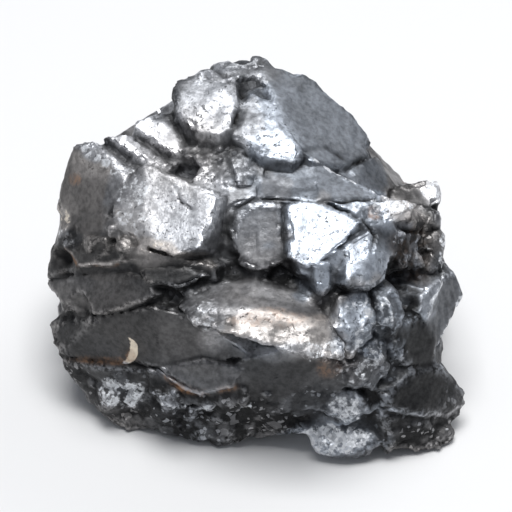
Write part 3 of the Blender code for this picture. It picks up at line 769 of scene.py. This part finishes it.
LINE_WOBBLE = (0.3, 1.6)  # how far a line is bent, and over what length, in mm
SEAM_LEAST, RIM_LEAST = 0.4, 0.1  # what is left of a seam and of a rim where it fades
LINE_FADE = 0.9  # and what comes on top of that where it doesn't
LINE_GAPS = 1.9  # mm, the length of the waves that it fades with

wobble = [waves(place, LINE_WOBBLE[1], salt) for salt in (141, 142)]
wavy = flat[:, :2] + LINE_WOBBLE[0] * np.stack(wobble, axis=1)
seams, rims = np.zeros(len(skin)), np.zeros(len(skin))
for rise, wide, corners in LINES.values():
    trace = front * np.exp(-((line_distance(wavy, corners) / wide) ** 2))
    least = SEAM_LEAST if rise < 0 else RIM_LEAST
    trace *= least + LINE_FADE * ease_in(waves(place, LINE_GAPS, 143), -0.5, 0.4)
    relief += rise * trace
    seams = np.maximum(seams, trace * (rise < 0))
    rims = np.maximum(rims, trace * (rise > 0))
print(len(LINES), "lines, on", int(((seams > 0.5) | (rims > 0.5)).sum()), "points")

# %% [markdown]
# ## Cracks
#
# Hair cracks run through shungite. Waves rise and fall through nought along thin lines
# that wander as cracks do, so a crack is drawn where they are close to it, and other waves
# leave parts of it out. Most of them are on the sides and the back.

# %% Cracks
CRACK_WIDTH = 0.022  # as a height of the waves, about 0.1 mm of stone
CRACK_DEPTH = 0.14
CRACK_BENDS, CRACK_KINKS, CRACK_GAPS = 8.0, 2.2, 7.0  # mm, the lengths of their waves
KINK_SHARE = 0.3  # of the height of the bends' waves
FRONT_CRACKS = 0.1  # how much of them is left on the broken face

crack_line = waves(place, CRACK_BENDS, 111) + KINK_SHARE * waves(place, CRACK_KINKS, 112)
crack = 1 - ease_in(np.abs(crack_line), 0.0, CRACK_WIDTH)
crack *= ease_in(waves(place, CRACK_GAPS, 113), 0.0, 0.4)
crack *= 1 - (1 - FRONT_CRACKS) * front
relief -= CRACK_DEPTH * clean * crack
print(int((crack > 0.5).sum()), "points in cracks")

# %% [markdown]
# ## The stone
#
# The relief is raised along the averaged ways out. The underside stays flat, because the
# stone rests on it. Then one mesh takes all the points, and what the finish needs to know
# about each point goes with it as an attribute.

# %% The stone's mesh
FLAT_FOOT = (0.05, 0.35)  # mm above the ground, between which the relief sets in
SHARP = math.radians(24)

resting = ease_in(place[:, 2], *FLAT_FOOT)
points = skin + outward * (relief * resting * MM)[:, None]
points = np.clip(points, low, high)


def make_mesh(name, points, triangles):
    """A mesh from arrays of points and corner numbers."""
    mesh = bpy.data.meshes.new(name)
    mesh.from_pydata(points.tolist(), [], triangles.tolist())
    mesh.validate()
    mesh.shade_smooth()
    mesh.set_sharp_from_angle(angle=SHARP)
    thing = bpy.data.objects.new(name, mesh)
    bpy.context.scene.collection.objects.link(thing)
    return thing


def keep_values(thing, **named):
    """Stores numbers for the points of the mesh, each array under its own name."""
    for name, values in named.items():
        attribute = thing.data.attributes.new(name, "FLOAT", "POINT")
        attribute.data.foreach_set("value", np.asarray(values, dtype=np.float32))


stone = make_mesh("raw_stone", points, triangles)
print(len(stone.data.vertices), "points and", len(stone.data.polygons), "triangles")

# %% [markdown]
# ## What the finish has to know
#
# Shungite has several finishes on one stone. Clean breaks are lustrous, between polished
# coal and dull steel. Crumbly ones are sooty black, with painted glints on single flakes. Each
# could be a material of its own, but they run into each other, so one material mixes them. How
# much of each a point has is worked out here and kept on the mesh. Lustre comes first.

# %% Lustrous faces
# name: (across, up, half width, half height, how lustrous)
LUSTROUS = {
    "crown boulder": (-5.0, 17.2, 4.4, 4.2, 0.8),
    "crest": (-2.4, 21.6, 2.6, 1.4, 0.8),
    "crest hollow": (0.4, 20.4, 1.8, 1.5, 0.9),
    "saddle top": (0.8, 17.6, 2.4, 1.8, 0.7),
    "saddle": (1.4, 13.6, 4.0, 3.4, 0.85),
    "smooth flank": (8.0, 16.0, 8.0, 8.0, 0.34),
    "flank step": (13.6, 9.2, 3.0, 3.0, 0.26),
    "left block": (-12.2, 14.0, 2.6, 2.6, 0.9),
    "blade": (-13.5, 11.6, 5.2, 2.4, 0.95),
    "left shoulder": (-17.4, 6.4, 5.4, 5.4, 0.26),
    "left strip": (-17.2, 10.8, 3.8, 2.6, 1.0),
    "bright face": (-9.4, 4.8, 6.8, 5.6, 1.0),
    "middle face": (0.2, 2.4, 3.2, 4.4, 0.6),
    "shelf": (7.0, 8.0, 8.0, 3.0, 0.42),
    "valley": (-5.0, 9.6, 4.6, 2.6, 0.35),
    "tooth": (-1.4, 9.8, 1.6, 1.4, 0.8),
    "bright block": (7.2, 2.4, 4.8, 4.6, 1.0),
    "bright strip": (14.6, 5.0, 5.0, 2.2, 1.0),
    "right horn": (21.0, 7.8, 3.0, 2.0, 0.9),
    "right wall edge": (21.0, 1.6, 0.9, 3.2, 0.5),
    "crescent": (11.8, -0.8, 2.8, 3.6, 1.0),
    "finger": (7.4, -2.6, 1.0, 2.4, 0.9),
    "ridge top": (0.0, -5.0, 8.0, 2.2, 0.56),
    "ridge": (2.4, -8.6, 8.0, 3.0, 0.95),
    "near knob": (11.0, -7.0, 2.6, 4.0, 1.0),
    "far knob": (14.6, -5.8, 1.8, 2.6, 0.5),
    "splinter side": (19.8, -5.0, 1.4, 2.6, 0.8),
    "splinter": (22.2, -5.2, 2.4, 5.0, 0.25),
    "foot patch": (10.2, -17.0, 2.2, 1.6, 0.9),
    "bright foot": (9.0, -21.0, 4.8, 2.2, 1.0),
    "left corner": (-22.8, 3.8, 1.6, 2.0, 0.9),
    "left ledge": (-18.0, -4.4, 7.0, 2.6, 0.22),
    "front chip": (-6.0, -13.2, 5.0, 1.8, 0.24),
    "front slab": (-12.0, -9.4, 10.0, 3.0, 0.08),
    "foot glints": (-15.6, -16.0, 2.4, 2.2, 0.4),
    "ridge tip": (-5.4, -6.2, 2.6, 1.8, 1.0),
    "right side crumbs": (12.0, -11.4, 4.2, 3.8, 0.5),
}
BACK_LUSTRE = 0.28
BACK_CLOUDS = 0.16  # how much more or less it has in clouds
CLOUD_SIZE = 8.0
BACK_FACES = 0.26  # how much more it can have from face to face
FACE_SHARE = 0.45  # how much of its lustre a point has from its face's mean
CRUMBLY_DULLING = 0.4
GLINT_LUSTRE, RIM_PAINTED_HIGHLIGHT = 0.35, 0.95
# How much painted shade the grooves get.
GROOVE_SHADE = 0.7

local = front * ovals(flat, LUSTROUS)
lustre = np.where(face < 0, local, FACE_SHARE * face_means(local) + (1 - FACE_SHARE) * local)
back = BACK_LUSTRE + BACK_CLOUDS * rough_waves(place, CLOUD_SIZE, 121)
back += BACK_FACES * averaged(face_chance(121), edges, 5)
lustre = averaged(front * lustre + (1 - front) * clean * back, edges, 2)
lustre = np.maximum(lustre * (1 - CRUMBLY_DULLING * crumble), GLINT_LUSTRE * crumble * glint)
# Raised rims get a painted highlight in their lustre.
lustre = np.maximum(lustre, RIM_PAINTED_HIGHLIGHT * rims)
# Cracks and seams are darkened as dark joints, and grooves get painted shade.
soot = np.maximum(np.maximum(clean * crack, seams), GROOVE_SHADE * grooved)
print("lustrous on", round(100 * float((lustre > 0.5).mean())), "% of the points")

# %% [markdown]
# ## Rust, warmth and pale spots
#
# A little iron in the rock stains some seams, and it warms the silver of some faces, while
# others get a cool tint, a painted reflection of a bluish surrounding. At rims, corners and
# the foot pale spots are painted as highlights, and the rims of flakes get painted glints.
# These are ovals and lines again.
# The one sliver of pale rock only gets a rough place here, because its outline is finer
# than the mesh and is left to the finish.

# %% Rust and warmth
# name: (across, up, half width, half height, how rusty)
RUSTY = {
    "left shoulder": (-20.8, 8.8, 0.8, 0.6, 0.7),
    "right wall": (17.6, 0.4, 2.8, 3.4, 0.06),
    "strip chips": (13.2, 4.8, 0.9, 0.9, 0.5),
    "ridge": (2.0, -6.8, 5.0, 1.2, 0.35),
    "crumbly side": (8.2, -12.6, 1.4, 1.2, 0.4),
    "slab foot": (-18.0, -12.0, 4.5, 0.5, 0.4),
    "pale sliver": (-14.2, -11.4, 0.7, 0.9, 0.8),
}
# name: (half width, the corners as (across, up))
RUST_LINES = {
    "chip foot": (0.3, ((-11.1, -13.2), (-8.6, -14.7), (-6.2, -15.4), (-2.2, -14.9))),
    "left band": (0.15, ((-21.8, 0.7), (-20.4, -1.1), (-15.6, -0.9))),
}
# name: (across, up, half width, half height, how warm or cool)
WARM = {
    "lower left": (-12.0, -12.0, 14.0, 12.0, 0.1),
    "left band": (-15.0, -0.4, 9.0, 2.4, 1.0),
    "left shoulder": (-20.2, 7.0, 4.0, 5.0, 0.75),
    "right wall": (18.4, 1.4, 3.4, 4.4, 0.3),
    "ridge": (2.4, -7.8, 6.0, 2.0, 0.45),
    "pale sliver": (-13.8, -10.6, 1.6, 2.2, 1.0),
}
# name: (across, up, half width, half height, how cool), a cool tint painted as a reflection of a
# bluish surrounding
COOL_REFLECTION_TINT = {
    "smooth flank": (9.0, 15.0, 9.0, 9.0, 1.0),
    "right blocks": (10.0, 1.6, 8.0, 6.0, 0.8),
    "knobs": (13.6, -6.6, 5.0, 5.0, 0.8),
    "bright foot": (9.4, -20.6, 6.0, 3.0, 0.9),
}
LINE_RUST, BACK_RUST = 0.9, 0.4  # how rusty the lines are, and the sides and the back
RUST_GAPS, RUST_CLOUDS, WARM_CLOUDS = 1.6, 9.0, 8.0  # mm, the lengths of their waves
WARM_SHARE = 0.35  # how much warmth the clouds give or take

rust = front * ovals(flat, RUSTY)
for wide, corners in RUST_LINES.values():
    line = front * np.exp(-((line_distance(wavy, corners) / wide) ** 2))
    gaps = ease_in(waves(place, RUST_GAPS, 133), -0.5, 0.3)
    rust = np.maximum(rust, LINE_RUST * line * gaps)
back_rust = BACK_RUST * ease_in(rough_waves(place, RUST_CLOUDS, 131), 0.7, 1.2)
rust = np.maximum(rust, (1 - front) * back_rust)
warmth = front * (ovals(flat, WARM) - ovals(flat, COOL_REFLECTION_TINT))
warmth += WARM_SHARE * waves(place, WARM_CLOUDS, 132)
print("rusty on", round(100 * float((rust > 0.3).mean())), "% of the points")

# %% Pale spots painted as highlights
# name: (across, up, half width, half height, how pale)
PAINTED_HIGHLIGHT_SPOTS = {
    "foot glints": (-15.6, -15.8, 2.4, 2.0, 0.85),
    "foot patch": (10.0, -17.2, 2.0, 1.5, 0.8),
    "bright foot": (9.4, -21.0, 4.6, 2.0, 1.0),
    "right side crumbs": (11.8, -11.4, 3.6, 3.4, 0.35),
    "ridge tip": (-5.4, -6.4, 2.6, 1.7, 0.35),
    "ridge end": (7.0, -10.4, 2.6, 1.4, 0.55),
    "knobs": (12.4, -6.4, 3.4, 3.2, 0.3),
    "crest hollow": (0.2, 20.4, 1.7, 1.4, 0.35),
    "left corner": (-22.8, 3.8, 1.4, 1.8, 0.5),
    "horn": (20.8, 7.8, 2.4, 1.4, 0.75),
    "bright strip": (14.6, 5.4, 4.4, 1.1, 0.6),
    "beside the bright face": (-14.2, 6.0, 2.4, 2.6, 0.36),
    "bright face": (-9.2, 4.4, 5.6, 4.4, 0.28),
}

# name: (half width, how pale, the corners as (across, up))
PALE_LINES = {
    "left strip": (0.9, 0.6, ((-19.4, 12.2), (-15.6, 9.8), (-12.6, 7.6))),
    "wall edge": (0.35, 0.6, ((21.7, 5.2), (21.6, 2.0), (21.4, -1.2))),
    "foot rim's end": (0.3, 0.9, ((-1.8, -17.4), (-0.4, -16.7))),
    "shelf rim": (0.2, 0.7, ((6.4, 10.7), (9.2, 9.1), (14.5, 6.5))),
    "crest": (0.5, 0.5, ((-3.4, 21.9), (-1.4, 22.4), (0.6, 22.2))),
}
# The lines above whose rims get a pale painted highlight: (half width, how pale)
PALE_RIMS = {
    "splinter edge": (0.3, 0.8),
    "splinter near edge": (0.3, 0.7),
    "near knob edge": (0.25, 0.7),
    "far knob edge": (0.25, 0.7),
    "foot rim": (0.25, 0.8),
}
FLAKE_RIM_GLINT = 0.34
# Grooves lose their paleness and stay dark, as painted shade.
GROOVE_LOSS = 0.8  # how much paleness a groove takes away
SLIVER_AREA = (-14.2, -10.6, 4.0, 4.0)  # the oval that the pale sliver lies in

# Pale spots and lines are painted highlights and glints.
pale = front * ovals(flat, PAINTED_HIGHLIGHT_SPOTS)
rim_lines = [(*size, LINES[name][2]) for name, size in PALE_RIMS.items()]
for wide, strength, corners in [*PALE_LINES.values(), *rim_lines]:
    line = strength * front * np.exp(-((line_distance(wavy, corners) / wide) ** 4))
    pale = np.maximum(pale, line)
# The high rims of flakes get painted glints.
flake_rim_glints = FLAKE_RIM_GLINT * front * crumble * flake_rim
pale = np.maximum(pale * (1 - GROOVE_LOSS * grooved), flake_rim_glints)
sliver = front * oval(flat, *SLIVER_AREA)
keep_values(stone, crumble=crumble, lustre=lustre, soot=soot, rust=rust, pale=pale)
# The edge values mark rubbed edges and rims, where the finish paints a highlight.
keep_values(stone, warmth=0.5 + warmth / 2, edge=np.maximum(ridged * at_edge, rims))
keep_values(stone, sliver=sliver)
print("pale on", round(100 * float((pale > 0.3).mean())), "% of the points")

# %% [markdown]
# ## Shader maths that reads like maths
#
# A material is a graph of nodes, and long graphs are hard to read. So one small class
# holds a socket, and its operators add the Math nodes: `1 - mask * 2` makes two nodes.

# %% A socket that can be added and multiplied
class Wire:
    """The output of a node, in a material that is being made."""

    def __init__(self, tree, socket):
        self.tree = tree
        self.socket = socket

    def node(self, kind, settings=(), **inputs):
        """Adds a node, sets its settings, then fills or links its inputs. An input is
        named, or numbered after an underscore."""
        made = self.tree.nodes.new(kind)
        for name, value in dict(settings).items():
            setattr(made, name, value)
        for name, value in inputs.items():
            index = int(name[1:]) if name[0] == "_" else name.replace("_", " ")
            self.fill(made.inputs[index], value)
        return made

    def fill(self, socket, value):
        """Links a wire to a socket, or sets the socket to a constant."""
        if isinstance(value, Wire):
            self.tree.links.new(value.socket, socket)
        else:
            socket.default_value = value

    def wire(self, made, output=0):
        return Wire(self.tree, made.outputs[output])

    def math(self, operation, first, second=0.0, clamp=False):
        settings = {"operation": operation, "use_clamp": clamp}
        return self.wire(self.node("ShaderNodeMath", settings, _0=first, _1=second))

    def __add__(self, other):
        return self.math("ADD", self, other)

    def __radd__(self, other):
        return self.math("ADD", other, self)

    def __sub__(self, other):
        return self.math("SUBTRACT", self, other)

    def __rsub__(self, other):
        return self.math("SUBTRACT", other, self)

    def __mul__(self, other):
        return self.math("MULTIPLY", self, other)

    def __rmul__(self, other):
        return self.math("MULTIPLY", other, self)

    def within(self, start, end):
        """0 up to start, 1 from end on, smooth between."""
        return self.wire(self.node(
            "ShaderNodeMapRange", {"interpolation_type": "SMOOTHSTEP"},
            Value=self, From_Min=start, From_Max=end,
        ))

    def clamped(self):
        return self.math("ADD", self, 0.0, clamp=True)

    def vector(self, operation, other, output=0):
        """Vector maths. Output 0 is a vector, and output 1 is DOT_PRODUCT's number."""
        settings = {"operation": operation}
        return self.wire(self.node("ShaderNodeVectorMath", settings, _0=self, _1=other), output)


def mixed(factor, first, second):
    """Two colours, mixed."""
    made = factor.node("ShaderNodeMix", {"data_type": "RGBA"}, _0=factor, _6=first, _7=second)
    return factor.wire(made, 2)


print("a wire can be added to, subtracted from and multiplied by wires and numbers")

# %% [markdown]
# ## The finish of shungite
#
# Shungite shines like a dull metal, so most of what it mirrors takes its own colour. That
# colour goes from soot to dull silver by the lustre kept on the mesh, broken up by clouds,
# so that bright faces look mottled. Edges are rubbed bright and get a painted highlight,
# cracks and seams are dark, and pits and grooves get painted shade. Pale grains lie over that
# as painted highlights, cream on warm faces and white on cool ones. Fine grain, pits and
# facets are too small for the mesh, so a Bump node raises them.
#
# The pale sliver is a crescent: what lies inside one circle on the broken face and outside
# a larger one. Its outline is worked out in the material, as sharp as the picture needs.

# %% Shungite
SOOT = (0.006, 0.006, 0.0065, 1)
COAL = (0.030, 0.030, 0.031, 1)
WARM_SILVER = (0.50, 0.47, 0.45, 1)
COOL_SILVER = (0.42, 0.46, 0.52, 1)
WHITE = (0.80, 0.82, 0.85, 1)
CREAM = (0.80, 0.70, 0.56, 1)
RUST = (0.30, 0.14, 0.05, 1)
METAL = 0.6
ROUGHNESS = 0.37
# (across, up, radius) of two circles. The sliver is inside the first and outside the other.
SLIVER_OUTER = (-15.0, -10.7, 1.65)
SLIVER_INNER = (-17.46, -9.96, 3.19)
CIRCLE_BLUR = 0.03  # half the width of a circle's soft border, in radii
COARSE_FACETS, SMALL_FACETS = 0.9, 2.6  # how many there are along a millimetre
PER_MM = 1000.0  # pattern cells a metre, so that a scale of 1 is one cell a millimetre


def shungite():
    """Nearly black carbon, lustrous where it broke clean."""
    material = bpy.data.materials.new("silvery_shungite")
    material.use_nodes = True
    tree = material.node_tree
    surface = tree.nodes["Principled BSDF"]
    start = Wire(tree, None)
    where = start.wire(start.node("ShaderNodeTexCoord"), "Object")

    def kept(name):
        """What was kept on the mesh under that name."""
        return start.wire(start.node("ShaderNodeAttribute", {"attribute_name": name}), "Fac")

    def clouds(scale, detail, rough, twist=0.0):
        """Noise from 0 to 1, with so many waves to the millimetre and finer ones on them."""
        return start.wire(start.node(
            "ShaderNodeTexNoise", {"noise_dimensions": "3D"},
            Vector=where, Scale=scale * PER_MM, Detail=detail, Roughness=rough, Distortion=twist,
        ), "Fac")

    broad, fine, grain = clouds(0.4, 4.0, 0.6, 0.6), clouds(1.6, 5.0, 0.62), clouds(6.0, 3.0, 0.6)

    def facets(scale, shift):
        """Small flat facets, in mm high. Each lies round its own point, and its height is
        the offset from that point times the facet's lean. Also gives a number for each. The
        whole pattern is moved by the shift, in metres, so that two don't line up."""
        moved = where.vector("ADD", (shift, shift, shift))
        cells = start.node("ShaderNodeTexVoronoi", Vector=moved, Scale=scale * PER_MM)
        lean = start.wire(cells, "Color").vector("SUBTRACT", (0.5, 0.5, 0.5))
        offset = moved.vector("SUBTRACT", start.wire(cells, "Position"))
        return offset.vector("DOT_PRODUCT", lean, 1) * PER_MM, lean.vector("DOT_PRODUCT", (1, 1, 1), 1)

    def past_circle(across, up, radius):
        """0 inside a circle on the broken face and 1 outside. The squared distance on the
        face is that in space less that along its way out, and clouds make it uneven."""
        centre = MIDDLE + (across * ACROSS + up * UP) * MM
        aside = where.vector("SUBTRACT", tuple(centre))
        depth = aside.vector("DOT_PRODUCT", tuple(OUT), 1)
        far = aside.vector("DOT_PRODUCT", aside, 1) - depth * depth
        inner, outer = radius * (1 - CIRCLE_BLUR) * MM, radius * (1 + CIRCLE_BLUR) * MM
        return (far * (0.8 + fine * 0.4)).within(inner**2, outer**2)

    crumbly, bright, soot = kept("crumble"), kept("lustre"), kept("soot")
    rusty, edge, warm, highlight_paint = kept("rust"), kept("edge"), kept("warmth"), kept("pale")
    coarse, turn = facets(COARSE_FACETS, 0.0)
    small, spark = facets(SMALL_FACETS, 0.01)

    # Shine: mottled faces, rubbed edges with a painted highlight and painted glints on single
    # facets, less the dark cracks and seams and the painted shade in grooves and pits.
    pits = clouds(2.2, 3.0, 0.65, 0.8).within(0.57, 0.66) * broad.within(0.36, 0.56)
    pits = pits * bright.within(0.45, 0.7)
    mottle = broad.within(0.30, 0.66) * 0.5 + fine.within(0.36, 0.62) * 0.5
    shine = bright * (0.50 + mottle * 0.75)
    shine = shine + edge * fine.within(0.40, 0.60) * 0.4 + bright * bright * edge * 0.3
    shine = shine + crumbly * (turn.within(0.85, 0.95) * 0.3 + spark.within(0.7, 0.8) * 0.6)
    shine = (shine * (1 - soot * 0.9) * (1 - pits * 0.75)).clamped()
    dark = mixed(fine.within(0.3, 0.7) * (1 - crumbly * 0.7) * (1 - soot), SOOT, COAL)
    carbon = mixed(shine, dark, mixed(warm.within(0.25, 0.75), COOL_SILVER, WARM_SILVER))

    # Painted highlights: pale grains on the spots kept for them, and the sliver of pale rock.
    highlight_grain_pick = turn * 0.5 + (fine - 0.5) * 4.0 + highlight_paint * 1.4
    sliver_and_highlight_paint = highlight_grain_pick.within(0.6, 1.2) * highlight_paint.within(0.02, 0.4) * (0.4 + spark.within(-0.7, 0.5) * 0.6)
    sliver = kept("sliver") * past_circle(*SLIVER_INNER) * (1 - past_circle(*SLIVER_OUTER))
    sliver_and_highlight_paint = sliver_and_highlight_paint.math("MAXIMUM", sliver_and_highlight_paint, sliver * (0.75 + fine.within(0.3, 0.6) * 0.25))
    carbon = mixed(sliver_and_highlight_paint, carbon, mixed(warm.within(0.6, 0.9), WHITE, CREAM))
    stain = (rusty * (0.15 + fine.within(0.40, 0.58) * broad.within(0.30, 0.55) * 0.8)).clamped()
    start.fill(surface.inputs["Base Color"], mixed(stain, carbon, RUST))
    start.fill(surface.inputs["Metallic"], METAL * (1 - stain) * (1 - sliver_and_highlight_paint * 0.4))
    start.fill(
        surface.inputs["Roughness"],
        (ROUGHNESS - shine * 0.05 + crumbly * (1 - shine) * 0.24 + soot * 0.2
         + grain.within(0.3, 0.7) * 0.08 + stain * 0.3).clamped(),
    )
    surface.inputs["IOR"].default_value = 1.6

    # Relief, in mm.
    relief = fine * (0.02 + bright * 0.03) + grain * (0.008 + crumbly * 0.02) - pits * 0.03
    relief = relief + (coarse * 0.45 + small * 0.4) * (crumbly + sliver_and_highlight_paint * 0.3 + 0.04)
    relief = relief + sliver * 0.2
    bump = start.node("ShaderNodeBump", Strength=1.0, Distance=MM, Height=relief)
    start.fill(surface.inputs["Normal"], start.wire(bump))
    return material


stone.data.materials.append(shungite())
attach(stone, "root")
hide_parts("shungite_stone")
print("the finish has", len(stone.data.materials[0].node_tree.nodes), "nodes")

# %% [markdown]
# ## Table, light and camera
#
# Lustrous faces show what they mirror, so the light makes or breaks this stone. One soft
# box straight above lights the faces that lean back, and leaves the walls dark. A second,
# dimmer one behind the stone draws out the edges of its sides. A pale table and a dim room
# fill in the rest.

# %% Floor
FLOOR_SIZE = 3.0
FLOOR_COLOUR = (0.80, 0.80, 0.80, 1)


def pale_floor():
    """A dull pale square on the ground, its corners half its size from the middle."""
    half = FLOOR_SIZE / 2
    mesh = bpy.data.meshes.new("floor")
    mesh.from_pydata(
        [(-half, -half, 0), (half, -half, 0), (half, half, 0), (-half, half, 0)],
        [], [(0, 1, 2, 3)],
    )
    floor = bpy.data.objects.new("floor", mesh)
    bpy.context.scene.collection.objects.link(floor)
    material = bpy.data.materials.new("pale_floor")
    material.use_nodes = True
    surface = material.node_tree.nodes["Principled BSDF"]
    surface.inputs["Base Color"].default_value = FLOOR_COLOUR
    surface.inputs["Roughness"].default_value = 0.9
    mesh.materials.append(material)
    return floor


pale_floor()

# %% Light
AIM = Vector(MIDDLE)


def soft_box(name, around, rise, distance, wide, tall, glow):
    """A rectangular light that looks at the stone, placed by its angle round from the
    camera's side and up from the level. Its power is its glow times pi times its area."""
    light = bpy.data.lights.new(name, "AREA")
    light.shape, light.size, light.size_y = "RECTANGLE", wide, tall
    light.energy = glow * math.pi * wide * tall
    lamp = bpy.data.objects.new(name, light)
    a, e = math.radians(around), math.radians(rise)
    back = Vector((math.sin(a) * math.cos(e), -math.cos(a) * math.cos(e), math.sin(e)))
    lamp.location = AIM + distance * back
    lamp.rotation_mode = "QUATERNION"
    lamp.rotation_quaternion = (-back).to_track_quat("-Z", "Y")
    bpy.context.scene.collection.objects.link(lamp)
    return lamp


soft_box("overhead_box", around=0, rise=88, distance=0.55, wide=0.30, tall=0.27, glow=12.0)
soft_box("right_back_box", around=140, rise=38, distance=0.8, wide=0.5, tall=0.35, glow=2.2)

# %% Room
ROOM_COLOUR = (0.78, 0.82, 0.9, 1)
ROOM_GLOW = 0.33

room = bpy.data.worlds.new("room")
room.use_nodes = True
room.node_tree.nodes["Background"].inputs["Color"].default_value = ROOM_COLOUR
room.node_tree.nodes["Background"].inputs["Strength"].default_value = ROOM_GLOW
bpy.context.scene.world = room
bpy.context.scene.view_settings.view_transform = "Standard"
print("the room glows with", ROOM_GLOW, "of its colour")

# %% Camera
LENS = 150.0
SENSOR = 36.0
VIEW_WIDTH = 0.060  # metres across the picture at the stone


def camera():
    """A long lens that looks straight at the broken face. Its distance is the width that it
    has to see, times the lens's length over the sensor's width."""
    data = bpy.data.cameras.new("camera")
    data.lens, data.sensor_width = LENS, SENSOR
    lens = bpy.data.objects.new("camera", data)
    back = Vector(OUT)
    lens.location = AIM + back * (VIEW_WIDTH * LENS / SENSOR)
    lens.rotation_mode = "QUATERNION"
    lens.rotation_quaternion = (-back).to_track_quat("-Z", "Y")
    bpy.context.scene.collection.objects.link(lens)
    return lens


bpy.context.scene.camera = camera()
print("the camera is", round((bpy.context.scene.camera.location - AIM).length, 3), "m away")
